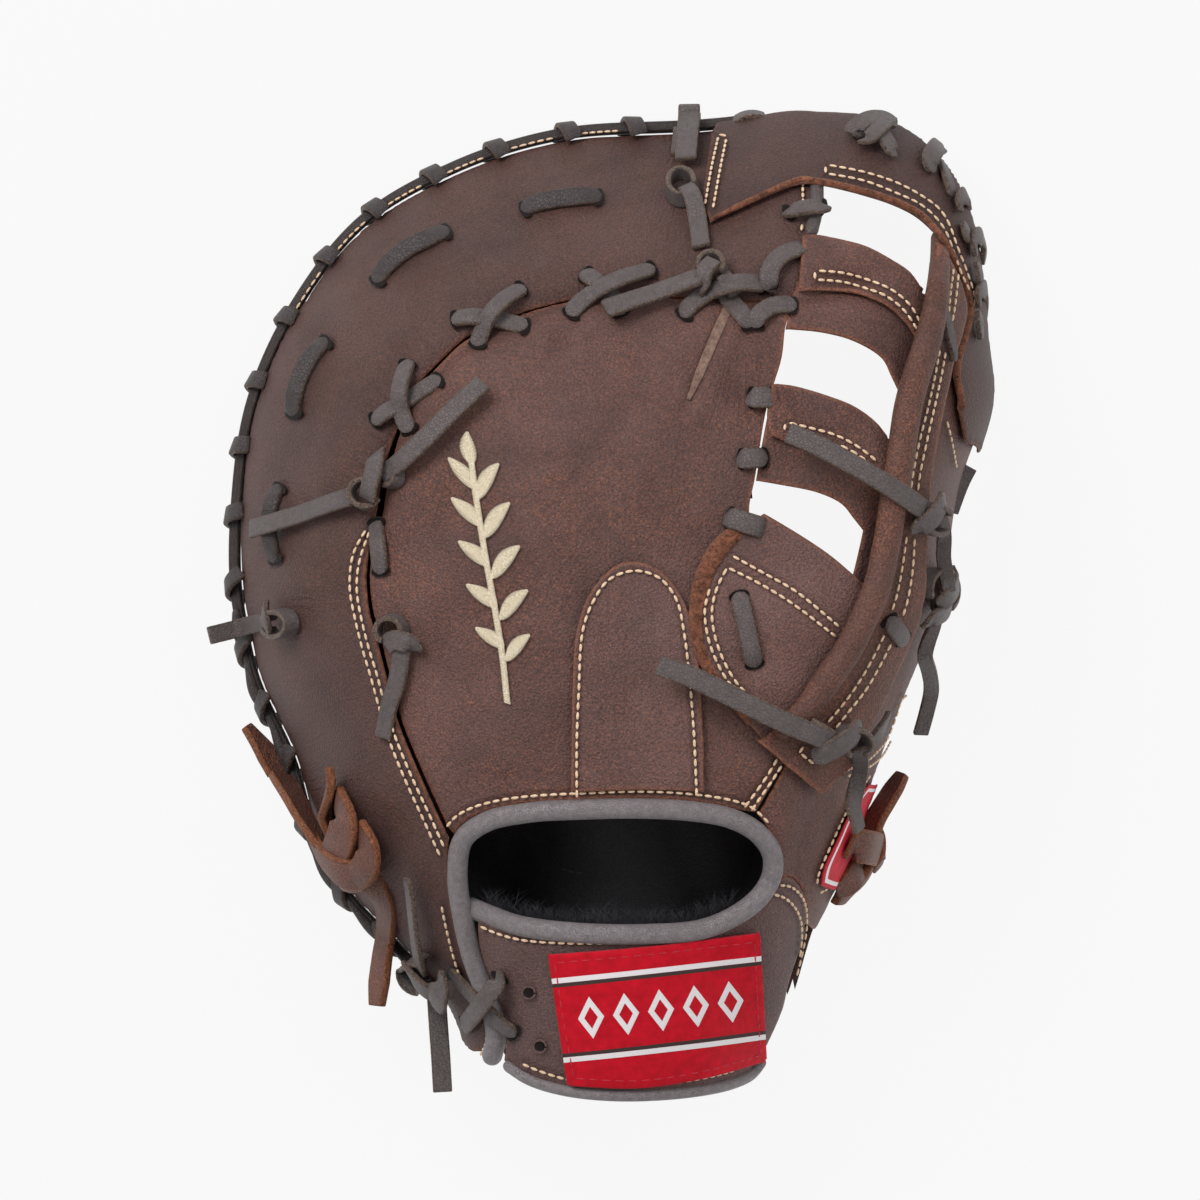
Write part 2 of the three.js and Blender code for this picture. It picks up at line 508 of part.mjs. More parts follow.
function rollOnBack(table, radius, offset, sides) {
  const points = table.map((row) => {
    const spot = place(row);
    return above(spot.x, spot.y, offset).point;
  });
  return roll(points, radius, sides);
}

// A flat lace through points, turned so that its face looks along the normal at each
function lace(stations, width, thick, cells) {
  const middle = new THREE.CatmullRomCurve3(stations.map((station) => station.point), false, "centripetal");
  const facing = new THREE.CatmullRomCurve3(stations.map((station) => station.normal));
  const geometry = new THREE.BoxGeometry(1, width, thick, cells, 1, 1);
  const position = geometry.attributes.position;
  for (let index = 0; index < position.count; index += 1) {
    const t = Math.min(Math.max(position.getX(index) + 0.5, 0), 1);
    const along = middle.getTangent(t);
    const normal = facing.getPoint(t);
    normal.addScaledVector(along, -normal.dot(along)).normalize();
    const across = normal.clone().cross(along);
    const point = middle.getPoint(t);
    point.addScaledVector(across, position.getY(index)).addScaledVector(normal, position.getZ(index));
    position.setXYZ(index, point.x, point.y, point.z);
  }
  return solidOf(geometry);
}

function layerTop(over) {
  return LEATHER + LAYER_GAP + over * (FACING + LAYER_GAP);
}

function backLace(row) {
  const [from, to] = [place(row.from), place(row.to)];
  const stations = [0, 0.25, 0.5, 0.75, 1].map((t) => {
    const spot = from.clone().lerp(to, t);
    const lifted = row.rise * LACE_THICK * Math.sin(Math.PI * t) ** 2;
    return above(spot.x, spot.y, layerTop(row.over) + LACE_THICK / 2 + lifted);
  });
  return lace(stations, LACE_WIDTH * row.wide, LACE_THICK, 4);
}

function knot(row, radius, width, thick) {
  const spot = place(row.at);
  const base = layerTop(row.over) + radius * KNOT_FLAT - KNOT_SEAT;
  const middle = above(spot.x, spot.y, base);
  const ball = new THREE.SphereGeometry(radius, 8, 6);
  ball.scale(1, 1, KNOT_FLAT);
  ball.applyQuaternion(new THREE.Quaternion().setFromUnitVectors(new THREE.Vector3(0, 0, 1), middle.normal));
  ball.translate(middle.point.x, middle.point.y, middle.point.z);
  let solid = solidOf(ball);
  for (const tail of row.tails) {
    const stops = [{ spot, offset: base }];
    for (const [x, y, off] of tail) stops.push({ spot: place([x, y]), offset: layerTop(0) + off + thick / 2 });
    const stations = stops.flatMap((stop, index) => {
      if (index === 0) return [middle];
      const last = stops[index - 1];
      return [1 / 3, 2 / 3, 1].map((t) => {
        const at = last.spot.clone().lerp(stop.spot, t);
        return above(at.x, at.y, last.offset + (stop.offset - last.offset) * t);
      });
    });
    solid = solid.add(lace(stations, width, thick, 2 * stops.length));
  }
  return solid;
}

// How far out a place lies that is so far from the edge, measured along the leather
function shareInside(angle, distance) {
  const step = 0.002;
  let share = NEAR_EDGE;
  let passed = 0;
  while (passed < distance && share > 0.5) {
    passed += backAt(share, angle).distanceTo(backAt(share - step, angle));
    share -= step;
  }
  return share;
}

// One turn of the whip lace round the edge: from its hole in the back, over the roll, to the palm
function edgeLoop(degrees, inside, wide, cells) {
  const angle = degrees * DEGREE;
  const edge = edgeAt(angle);
  const out = new THREE.Vector3(Math.cos(angle), Math.sin(angle), 0);
  const up = new THREE.Vector3(0, 0, 1);
  const middle = edgePoint(angle);
  const round = (turn) => {
    const normal = out.clone().multiplyScalar(Math.cos(turn)).addScaledVector(up, Math.sin(turn));
    const point = middle.clone().addScaledVector(normal, RIM_ROLL + LACE_THICK / 2 - 0.1);
    return { point, normal };
  };
  const onBack = (distance) => {
    const share = shareInside(angle, distance);
    return {
      point: offBack(share, angle, layerTop(0) + LACE_THICK / 2),
      normal: backNormal(share, angle),
    };
  };
  const palmShare = 1 - LACE_UNDER / edge.reach;
  const under = {
    point: palmAt(palmShare, angle).addScaledVector(up, -2 * LAYER_GAP - LACE_THICK / 2),
    normal: up.clone().negate(),
  };
  const stations = [onBack(inside), onBack(inside / 2), onBack(0), round(0.7), round(0), round(-0.9), under];
  return lace(stations, LACE_WIDTH * wide, LACE_THICK, cells);
}

function edgePoint(angle) {
  const edge = edgeAt(angle);
  const out = edge.reach + EDGE_INSET;
  return new THREE.Vector3(out * Math.cos(angle), out * Math.sin(angle), edge.lift);
}

const mitt = new THREE.Group();

function addPiece(name, solid, material) {
  const mesh = new THREE.Mesh(geometryOf(solid), new THREE.MeshStandardMaterial(material));
  mesh.name = name;
  mitt.add(mesh);
}

// Palm: one padded shell, open at the wrist and under the web, and its lining
const webOpening = prism(smoothLine(WEB_OPENING));
const heelEdge = prism(smoothLine(HEEL_EDGE));
const lastRing = 2 / SHEET_CELLS;
const soleRing = 1 - 2 * lastRing;
const palmRings = (ring, angle) => {
  const { sole } = edgeAt(angle);
  if (ring < soleRing + lastRing / 2) return sole * (1 - (1 - ring / soleRing) ** 1.3);
  return ring < 1 - lastRing / 2 ? sole + SOLE_BAND : 1;
};
const palm = sheet(palmAt, palmInside, palmRings);
addPiece("palm_shell", palm.subtract(webOpening).subtract(heelEdge), brown);

const liningLow = (share, angle) => palmInside(share, angle).add(new THREE.Vector3(0, 0, LAYER_GAP));
const liningHigh = (share, angle) => liningLow(share, angle).add(new THREE.Vector3(0, 0, LINING));
const lining = sheet(liningLow, liningHigh, palmRings);
addPiece("palm_lining", lining.intersect(prism(smoothLine(LINING_OUTLINE))), black);

// Back: one layer of leather, cut into its panels along the seams
const rollGap = 4 * LAYER_GAP;
const cuts = [
  webOpening,
  prism(smoothLine(WRIST_HOLE)),
  prism(smoothLine(HEEL_CUT)),
  wallAlong(WRIST_ROLL_LINE, 2 * WRIST_ROLL + rollGap),
  wallAlong(STRAP_ROLL_LINE, 2 * STRAP_ROLL + rollGap),
  wallAlong(WEB_ROLL_LINE, 2 * WEB_ROLL + rollGap),
  wallAlong(FINGER_SEAM, SEAM),
  wallAlong(THUMB_SEAM, SEAM),
  wallAlong(STRAP_SEAM, SEAM),
];
const back = cuts.reduce((solid, cut) => solid.subtract(cut), backSheet(0, LEATHER));
for (const [name, spot] of Object.entries(PANELS)) addPiece(name, partAt(back, place(spot)), brown);

// Panels sewn on top, and the straps of the web
const ground = backSheet(0, LEATHER);
const second = backSheet(LEATHER_TOP, LEATHER_TOP + FACING);
const third = backSheet(FACING_TOP, FACING_TOP + FACING);
const onLayer = (layer, table) => layer.intersect(prism(smoothLine(table)));
const padRoom = prism(smoothLine(THUMB_BACK)).add(wallAlong(THUMB_BACK_EDGE, 2 * SEAM));
addPiece("finger_pad", onLayer(second, FINGER_PAD).subtract(padRoom), brown);
addPiece("thumb_back", onLayer(second, THUMB_BACK), suede);
addPiece("thumb_patch", onLayer(second, THUMB_PATCH), red);
addPiece("web_top_strap", onLayer(second, WEB_STRAP), brown);
addPiece("web_upper_bar", onLayer(ground, UPPER_BAR), brown);
addPiece("web_upper_facing", onLayer(second, UPPER_BAR_FACING), brown);
addPiece("web_lower_bar", onLayer(ground, LOWER_BAR), brown);
addPiece("web_lower_facing", onLayer(second, LOWER_BAR_FACING), brown);
const postRoll = rollOnBack(POST_LINE, POST_ROLL, FACING_TOP + POST_ROLL, 8);
addPiece("web_post", onLayer(third, POST_FLANGE).add(postRoll), suede);

// Wrist strap's fleece and label
addPiece("strap_fleece", onLayer(backSheet(-LAYER_GAP - FLEECE, -LAYER_GAP), FLEECE_OUTLINE), black);
const labelCorners = [[1, 1], [-1, 1], [-1, -1], [1, -1]].map(([x, y]) => {
  const corner = new THREE.Vector2((x * LABEL_WIDTH) / 2, (y * LABEL_HEIGHT) / 2);
  return corner.rotateAround(new THREE.Vector2(), LABEL_TURN * DEGREE).add(place(LABEL_MIDDLE));
});
addPiece("strap_label", backSheet(LEATHER_TOP, LEATHER_TOP + LABEL).intersect(prism(labelCorners)), red);

// Rolled edges of the wrist and of the web
addPiece("wrist_roll", rollOnBack(WRIST_ROLL_LINE, WRIST_ROLL, LEATHER / 2, 8), grey);
addPiece("strap_roll", rollOnBack(STRAP_ROLL_LINE, STRAP_ROLL, LEATHER / 2, 8), grey);
addPiece("web_roll", rollOnBack(WEB_ROLL_LINE, WEB_ROLL, LEATHER / 2, 8), grey);

// The rolled edge between palm and back, with the lace whipped round it
const rimPoints = [];
for (let degrees = RIM_ROLL_FROM; degrees <= RIM_ROLL_TO; degrees += 5) {
  rimPoints.push(edgePoint(degrees * DEGREE));
}
let rim = roll(rimPoints, RIM_ROLL, 5);
for (const degrees of RIM_LACE_AT) rim = rim.add(edgeLoop(degrees, LACE_REACH, 1, 6));
rim = rim.add(edgeLoop(TOP_TAIL.at, TOP_TAIL.reach, TOP_TAIL.wide, 10));
addPiece("rim_lacing", rim, grey);

// Laces and knots on the back
for (const row of BACK_LACES) addPiece(row.name, backLace(row), grey);
for (const row of KNOTS) addPiece(row.name, knot(row, KNOT_RADIUS, LACE_WIDTH, LACE_THICK), grey);
for (const row of TIES) addPiece(row.name, knot(row, TIE_KNOT_RADIUS, TIE_WIDTH, TIE_THICK), suede);

// The origin goes to the floor, under the middle
const bounds = new THREE.Box3().setFromObject(mitt);
const centre = bounds.getCenter(new THREE.Vector3());
mitt.position.set(-centre.x, -centre.y, -bounds.min.z);

export default mitt;
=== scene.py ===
"""A first baseman's mitt lying on its palm, seen from above on the back of the hand.

Shapes are worked out in millimetres on the form of the back, in plan coordinates whose middle is the
middle of the photo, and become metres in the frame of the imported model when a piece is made.
"""
import math
import random

import bmesh
import bpy
import numpy as np
from mathutils import Matrix, Vector


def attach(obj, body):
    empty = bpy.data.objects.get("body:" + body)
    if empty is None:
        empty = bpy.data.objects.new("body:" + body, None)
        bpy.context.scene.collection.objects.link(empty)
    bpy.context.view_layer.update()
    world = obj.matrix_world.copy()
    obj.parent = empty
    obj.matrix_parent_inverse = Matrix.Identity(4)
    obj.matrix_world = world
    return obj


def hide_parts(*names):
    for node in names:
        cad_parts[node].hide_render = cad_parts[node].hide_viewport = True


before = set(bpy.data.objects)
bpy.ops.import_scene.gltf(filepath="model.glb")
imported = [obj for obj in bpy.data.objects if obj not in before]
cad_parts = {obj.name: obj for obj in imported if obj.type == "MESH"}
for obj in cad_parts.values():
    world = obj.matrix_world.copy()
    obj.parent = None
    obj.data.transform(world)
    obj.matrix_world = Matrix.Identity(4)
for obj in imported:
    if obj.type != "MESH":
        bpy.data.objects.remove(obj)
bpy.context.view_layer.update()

# Sizes in millimetres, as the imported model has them
PIXEL = 0.32
BACK_HEIGHT = 100.0
POCKET_DEPTH = 60.0
RIM_HEIGHT = 34.0
LEATHER = 2.4
FACING = 2.0
LINING = 1.2
PALM_PAD = 8.0
HEEL_PAD = 22.0
LAYER_GAP = 0.45
WRIST_ROLL = 3.3
STRAP_ROLL = 2.0
WEB_ROLL = 2.0
POST_ROLL = 4.8
LACE_WIDTH = 5.4
LACE_THICK = 1.8
SOLE_BAND = 0.05
LEATHER_TOP = LEATHER + LAYER_GAP
FACING_TOP = LEATHER_TOP + FACING + LAYER_GAP
FACED = LEATHER_TOP + FACING
POST_TOP = FACING_TOP + FACING
NEAR_EDGE = 0.9995
TURN = 2 * math.pi

# The edge where palm and back meet: direction in degrees, reach in pixels, height as a share of
# RIM_HEIGHT, the two powers of the back's curve, and the reach of the flat that the palm stands on
EDGE = [
    (0, 361, 0.26, 6, 2, 0.84), (10, 365, 0.26, 6, 2, 0.84), (20, 392, 0.26, 6, 2, 0.84),
    (30, 453, 0.3, 5, 1.8, 0.86), (40, 504, 0.36, 4, 1.6, 0.88), (49, 548, 0.36, 3.4, 1.4, 0.88),
    (58, 563, 0.34, 3, 1.3, 0.88), (66, 535, 0.3, 3, 1.2, 0.88), (74, 494, 0.27, 2.8, 1.15, 0.88),
    (82, 473, 0.26, 2.7, 1.1, 0.88), (95, 463, 0.26, 2.7, 1.1, 0.88), (110, 452, 0.26, 2.9, 1.15, 0.88),
    (122, 444, 0.26, 3, 1.2, 0.88), (135, 421, 0.26, 3.2, 1.25, 0.88), (150, 396, 0.26, 3.3, 1.3, 0.88),
    (165, 372, 0.26, 3.4, 1.35, 0.88), (180, 360, 0.26, 3.6, 1.4, 0.88), (195, 350, 0.28, 3.8, 1.5, 0.86),
    (208, 355, 0.34, 4, 1.6, 0.84), (220, 370, 0.46, 4, 1.6, 0.81), (235, 392, 0.7, 4, 1.6, 0.76),
    (246, 414, 0.9, 3.8, 1.5, 0.72), (252, 450, 0.95, 3.4, 1.4, 0.68), (257, 515, 1, 3.1, 1.3, 0.64),
    (263, 590, 1, 3, 1.2, 0.62), (272, 640, 1, 3, 1.2, 0.62), (281, 590, 1, 3, 1.2, 0.62),
    (288, 505, 1, 3.2, 1.3, 0.66), (295, 449, 0.95, 3.8, 1.6, 0.72), (303, 394, 0.85, 4.4, 1.8, 0.76),
    (312, 366, 0.65, 5, 2, 0.8), (322, 346, 0.44, 5.4, 2, 0.82), (335, 333, 0.3, 6, 2, 0.84),
    (348, 338, 0.26, 6, 2, 0.84),
]

# How far the back's inside edge lies inside the drawn edge: direction in degrees, and millimetres
INSETS = [
    (0, 4.8), (9, 3.0), (16, 2.2), (20, 1.4), (25, 0.4), (29, 1.6), (34, 5.4), (43, 3.6), (51, 1.9),
    (58, 2.6), (64, 3.2), (70, 0.8), (80, 0.3), (122, 0.9), (150, 0.5), (170, 1.0), (184, 1.5),
    (193, 0.6), (206, 4.4), (213, 3.6), (221, 0.2), (231, 0.4), (238, 1.8), (246, 0.0), (257, 0.0),
    (264, 1.6), (286, 1.0), (293, -0.4), (307, 0.2), (313, 1.0), (320, 4.4), (348, 4.8),
]


def plan(px, py):
    return ((px - 600) * PIXEL, (600 - py) * PIXEL)


def smooth_step(value, first, last):
    t = np.clip((value - first) / (last - first), 0, 1)
    return t * t * (3 - 2 * t)


def cubic_table(steps):
    """The edge's columns at even steps round the mitt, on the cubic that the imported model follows."""
    rows = [(math.radians(row[0]), row[1] * PIXEL, *row[2:]) for row in EDGE]
    count = len(rows)
    table = np.zeros((steps, 5))
    for index in range(steps):
        angle = TURN * index / steps
        after = next((i for i, row in enumerate(rows) if row[0] > angle), count)
        near = []
        for i in range(after - 2, after + 2):
            near.append((rows[i % count], rows[i % count][0] + TURN * (i // count)))
        span = near[2][1] - near[1][1]
        t = (angle - near[1][1]) / span
        for column in range(5):
            a, b, c, d = (entry[0][column + 1] for entry in near)
            slope_in = (c - a) / (near[2][1] - near[0][1]) * span
            slope_out = (d - b) / (near[3][1] - near[1][1]) * span
            table[index, column] = (
                b * (2 * t**3 - 3 * t**2 + 1)
                + slope_in * (t**3 - 2 * t**2 + t)
                + c * (3 * t**2 - 2 * t**3)
                + slope_out * (t**3 - t**2)
            )
    degrees, insets = np.array(INSETS).T
    inset = np.interp(np.arange(steps) * 360 / steps, degrees, insets, period=360)
    wide = steps // 120
    table[:, 0] -= np.convolve(np.concatenate([inset[-wide:], inset, inset[:wide]]),
                               np.ones(2 * wide + 1) / (2 * wide + 1), "valid")
    table[:, 1] *= RIM_HEIGHT
    return table


EDGE_STEPS = 1440
EDGE_TABLE = cubic_table(EDGE_STEPS)


def edge_row(angle):
    """All columns of the edge's table in a direction."""
    place = np.mod(np.asarray(angle, float), TURN) * (EDGE_STEPS / TURN)
    first = np.floor(place).astype(int)
    share = (place - first)[..., None]
    return EDGE_TABLE[first % EDGE_STEPS] * (1 - share) + EDGE_TABLE[(first + 1) % EDGE_STEPS] * share


def edge_column(angle, column):
    return edge_row(angle)[..., column]


def back_at(share, angle):
    """The inside of the back, by the share of the way out to the edge and the direction."""
    reach, lift, crown, wall, _ = np.moveaxis(edge_row(angle), -1, 0)
    rise = np.power(np.clip(1 - np.power(share, crown), 0, 1), 1 / wall)
    out = reach * share
    return np.stack([out * np.cos(angle), out * np.sin(angle), lift + (BACK_HEIGHT - lift) * rise], -1)


def back_with_normal(share, angle):
    step = np.where(share > 0.5, -0.002, 0.002)
    here = back_at(share, angle)
    outward = (back_at(share + step, angle) - here) * np.sign(step)[..., None]
    around = back_at(share, angle + 0.002) - here
    normal = np.cross(outward, around)
    return here, normal / np.linalg.norm(normal, axis=-1, keepdims=True)


# Dents and ridges that every layer follows: points in pixels, height in millimetres, half width in pixels
FOLDS = [
    ([(860, 285), (790, 297), (735, 300), (690, 295), (620, 296), (560, 302), (505, 323), (455, 352),
      (415, 395), (392, 440), (382, 490), (376, 528)], -3.0, 11),
    ([(790, 262), (735, 266), (660, 262), (560, 268), (480, 292), (420, 340), (372, 395), (345, 455),
      (338, 520)], 1.6, 26),
    ([(374, 535), (360, 565), (357, 610), (371, 680), (400, 750), (430, 820)], -1.2, 9),
    ([(729, 306), (712, 345), (697, 380), (684, 410)], -1.7, 5),
    ([(742, 312), (727, 350), (712, 385), (698, 420)], 1.3, 9),
    ([(700, 330), (680, 380), (668, 420)], 0.7, 16),
    ([(742, 808), (760, 785), (795, 730), (820, 690)], -1.0, 7),
    ([(772, 884), (798, 889), (809, 908), (809, 945)], -1.0, 7),
    ([(640, 560), (620, 440), (600, 340)], 0.8, 60),
    ([(520, 820), (500, 700), (470, 560), (450, 430)], 0.7, 46),
    ([(300, 330), (265, 430), (262, 540)], 0.8, 26),
    ([(790, 870), (800, 840), (815, 800)], -1.0, 9),
]
# Puckers where a lace goes through: place in pixels, depth in millimetres, radius in pixels
PUCKERS = [
    (520, 209, 1.2, 17), (602, 196, 1.2, 17), (375, 283, 1.2, 17), (449, 230, 1.2, 17), (292, 415, 1.2, 17),
    (326, 339, 1.2, 17), (274, 562, 1.2, 17), (279, 486, 1.2, 17), (454, 319, 1.0, 13), (479, 346, 1.0, 13),
    (524, 288, 1.0, 13), (527, 327, 0.8, 13), (376, 423, 1.0, 13), (440, 379, 1.0, 13), (413, 432, 0.8, 13),
    (408, 363, 1.0, 13), (585, 272, 1.0, 13), (570, 319, 1.0, 13), (654, 268, 1.0, 13), (682, 319, 1.0, 13),
    (737, 597, 1.0, 15), (753, 664, 1.0, 15), (397, 632, 1.4, 16), (384, 486, 1.0, 16), (683, 186, 1.0, 16),
]


def along(points, spacing=1.0, closed=False):
    """A smooth line through points in the plane or in space, as places at about the spacing given."""
    spots = np.array(points, float)
    count = len(spots)
    if count == 2 and not closed:
        steps = max(1, int(round(np.linalg.norm(spots[1] - spots[0]) / spacing)))
        share = np.linspace(0, 1, steps + 1)[:, None]
        return spots[0] * (1 - share) + spots[1] * share
    line = []
    for index in range(count if closed else count - 1):
        if closed:
            a, b, c, d = (spots[(index + k) % count] for k in (-1, 0, 1, 2))
        else:
            b, c = spots[index], spots[index + 1]
            a = spots[index - 1] if index > 0 else 2 * b - c
            d = spots[index + 2] if index + 2 < count else 2 * c - b
        knots = [0.0]
        for first, second in ((a, b), (b, c), (c, d)):
            knots.append(knots[-1] + max(np.linalg.norm(second - first), 1e-6) ** 0.5)
        steps = max(1, int(round(np.linalg.norm(c - b) / spacing)))
        for step in range(steps):
            t = knots[1] + (knots[2] - knots[1]) * step / steps
            ab = (a * (knots[1] - t) + b * (t - knots[0])) / (knots[1] - knots[0])
            bc = (b * (knots[2] - t) + c * (t - knots[1])) / (knots[2] - knots[1])
            cd = (c * (knots[3] - t) + d * (t - knots[2])) / (knots[3] - knots[2])
            first = (ab * (knots[2] - t) + bc * (t - knots[0])) / (knots[2] - knots[0])
            second = (bc * (knots[3] - t) + cd * (t - knots[1])) / (knots[3] - knots[1])
            line.append((first * (knots[2] - t) + second * (t - knots[1])) / (knots[2] - knots[1]))
    if not closed:
        line.append(spots[-1])
    return np.array(line)


def even(line, spacing):
    """The same line with its places an even distance apart."""
    gaps = np.linalg.norm(np.diff(line, axis=0), axis=1)
    run = np.concatenate([[0], np.cumsum(gaps)])
    count = max(2, int(round(run[-1] / spacing)) + 1)
    stops = np.linspace(0, run[-1], count)
    return np.stack([np.interp(stops, run, line[:, k]) for k in range(line.shape[1])], -1)


def nearest(spots, line, closed=False):
    """For each spot the nearest place on a line in the plane, how far off it lies, and how far along."""
    starts = line if closed else line[:-1]
    ends = np.roll(line, -1, axis=0) if closed else line[1:]
    spans = ends - starts
    lengths = np.maximum((spans**2).sum(1), 1e-12)
    best = np.full(len(spots), np.inf)
    place = np.zeros((len(spots), 2))
    run = np.zeros(len(spots))
    before = 0.0
    for start, span, length in zip(starts, spans, lengths):
        t = np.clip(((spots - start) @ span) / length, 0, 1)
        near = start + t[:, None] * span
        away = ((spots - near) ** 2).sum(1)
        closer = away < best
        best[closer] = away[closer]
        place[closer] = near[closer]
        run[closer] = before + t[closer] * math.sqrt(length)
        before += math.sqrt(length)
    return place, np.sqrt(best), run


FOLD_LINES = [(even(along([plan(*p) for p in line]), 4.0), high, wide * PIXEL) for line, high, wide in FOLDS]


def worked_relief(spots):
    """How far dents and ridges move the leather, in millimetres, at places in the plane."""
    total = np.zeros(len(spots))
    for line, high, wide in FOLD_LINES:
        low, top = line.min(0) - 3 * wide, line.max(0) + 3 * wide
        near = np.all((spots > low) & (spots < top), axis=1)
        if near.any():
            away = nearest(spots[near], line)[1]
            total[near] += high * np.exp(-((away / wide) ** 2))
    for px, py, deep, wide in PUCKERS:
        away = np.hypot(*(spots - np.array(plan(px, py))).T) / (wide * PIXEL)
        total -= deep * np.exp(-(away**2))
    return total


RELIEF_CELL = 1.5
RELIEF_LOW = -190.0
RELIEF_COUNT = 254


def relief_table():
    steps = RELIEF_LOW + RELIEF_CELL * np.arange(RELIEF_COUNT)
    x, y = np.meshgrid(steps, steps, indexing="ij")
    return worked_relief(np.stack([x.ravel(), y.ravel()], -1)).reshape(RELIEF_COUNT, RELIEF_COUNT)


RELIEF = relief_table()


def relief(spots):
    """The same, read from a table."""
    place = np.clip((spots - RELIEF_LOW) / RELIEF_CELL, 0, RELIEF_COUNT - 1.001)
    first = place.astype(int)
    (column, row), (across, down) = first.T, (place - first).T
    low = RELIEF[column, row] * (1 - across) + RELIEF[column + 1, row] * across
    high = RELIEF[column, row + 1] * (1 - across) + RELIEF[column + 1, row + 1] * across
    return low * (1 - down) + high * down


def above(spots, offset):
    """Points off the back that are seen at these places from above, their normals and what they stand on."""
    spots = np.atleast_2d(np.array(spots, float))
    offset = offset + relief(spots)
    base = spots.copy()
    for _ in range(6):
        angle = np.arctan2(base[:, 1], base[:, 0])
        reach = edge_column(angle, 0)
        far = np.hypot(base[:, 0], base[:, 1])
        share = np.clip(far / reach, 0.01, NEAR_EDGE)
        past = np.maximum(far - reach * NEAR_EDGE, 0)
        point, normal = back_with_normal(share, angle)
        point = point + normal * offset[:, None]
        point[:, 0] += past * np.cos(angle)
        point[:, 1] += past * np.sin(angle)
        base += 0.8 * (spots - point[:, :2])
    return point, normal, base


# The back unrolled: the same directions, with the distance measured along the leather
SHARE_STEPS = 240
ARC_ANGLES = 360


def arc_table():
    shares = 1 - (1 - np.arange(SHARE_STEPS + 1) / SHARE_STEPS) ** 2
    table = np.zeros((SHARE_STEPS + 1, ARC_ANGLES + 1))
    for index in range(ARC_ANGLES + 1):
        angle = np.full(SHARE_STEPS + 1, TURN * index / ARC_ANGLES)
        line = back_at(np.minimum(shares, 1), angle)
        table[1:, index] = np.cumsum(np.linalg.norm(np.diff(line, axis=0), axis=1))
    return table


ARCS = arc_table()


def arc_at(share, angle):
    row = (1 - np.sqrt(1 - np.clip(share, 0, 1))) * SHARE_STEPS
    column = np.mod(angle, TURN) / TURN * ARC_ANGLES
    r0 = np.clip(row.astype(int), 0, SHARE_STEPS - 1)
    c0 = np.clip(column.astype(int), 0, ARC_ANGLES - 1)
    fr, fc = row - r0, column - c0
    low = ARCS[r0, c0] * (1 - fc) + ARCS[r0, c0 + 1] * fc
    high = ARCS[r0 + 1, c0] * (1 - fc) + ARCS[r0 + 1, c0 + 1] * fc
    return low * (1 - fr) + high * fr


def unroll(spots):
    angle = np.arctan2(spots[:, 1], spots[:, 0])
    share = np.clip(np.hypot(spots[:, 0], spots[:, 1]) / edge_column(angle, 0), 0, 1)
    arc = arc_at(share, angle)
    return np.stack([arc * np.cos(angle), arc * np.sin(angle)], -1)


def roll_up(flat):
    """The place in the plane, as a share of the reach and a direction, of a place on the unrolled back."""
    angle = np.arctan2(flat[:, 1], flat[:, 0])
    arc = np.hypot(flat[:, 0], flat[:, 1])
    low, high = np.zeros(len(flat)), np.ones(len(flat))
    for _ in range(22):
        middle = (low + high) / 2
        short = arc_at(middle, angle) < arc
        low = np.where(short, middle, low)
        high = np.where(short, high, middle)
    share = np.clip((low + high) / 2, 0.004, NEAR_EDGE)
    return share, angle


# Making pieces
MM = 0.001
MIDDLE = np.array([-0.64, 1.69, 0.0])
FAR = 9.0


def start():
    shape = bmesh.new()
    for layer in ("raw", "seam", "rim", "tint"):
        shape.verts.layers.float.new(layer)
    return shape


def net(shape, rows, raw=None, slot=0, block=0):
    """A net of faces over rows of points, as a grid that is laid on them, parted after each block of rows."""
    rows = np.asarray(rows, float)
    high, wide = rows.shape[0] - 1, rows.shape[1] - 1
    made = bmesh.ops.create_grid(shape, x_segments=wide, y_segments=high, size=0.5)["verts"]
    raw_layer, seam_layer, rim_layer = (shape.verts.layers.float[name] for name in ("raw", "seam", "rim"))
    row_of = {}
    for vert in made:
        vert[seam_layer] = vert[rim_layer] = FAR
        column = round((vert.co.x + 0.5) * wide)
        row = round((vert.co.y + 0.5) * high)
        row_of[vert] = row
        vert.co = rows[row, column]
        if raw is not None:
            vert[raw_layer] = raw[row, column]
    joins = []
    for face in {face for vert in made for face in vert.link_faces}:
        face.material_index = slot
        face.smooth = True
        if block and (min(row_of[vert] for vert in face.verts) + 1) % block == 0:
            joins.append(face)
    if joins:
        bmesh.ops.delete(shape, geom=joins, context="FACES")
    return made


def weld(shape, verts, distance=0.001):
    bmesh.ops.remove_doubles(shape, verts=[vert for vert in verts if vert.is_valid], dist=distance)


def finish_piece(name, shape, skins, nodes=(), thickness=0.0, rim_slot=None, soften=0.0):
    """Turns a shape in millimetres into a piece of the scene."""
    if not thickness:
        bmesh.ops.recalc_face_normals(shape, faces=list(shape.faces))
    for vert in shape.verts:
        vert.co = (vert.co + Vector(MIDDLE)) * MM
    mesh = bpy.data.meshes.new(name)
    shape.to_mesh(mesh)
    shape.free()
    for skin in skins:
        mesh.materials.append(skin)
    piece = bpy.data.objects.new(name, mesh)
    bpy.context.collection.objects.link(piece)
    if thickness:
        wall = piece.modifiers.new("Wall", "SOLIDIFY")
        wall.thickness = thickness * MM
        wall.offset = 1
        wall.use_even_offset = True
        wall.thickness_clamp = 1.0
        if rim_slot is not None:
            wall.material_offset_rim = rim_slot
    if soften:
        edge = piece.modifiers.new("Soft edge", "BEVEL")
        edge.width = soften * MM
        edge.segments = 1
        edge.limit_method = "ANGLE"
        edge.angle_limit = math.radians(48)
        edge.harden_normals = False
    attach(piece, "root")
    if nodes:
        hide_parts(*nodes)
    return piece


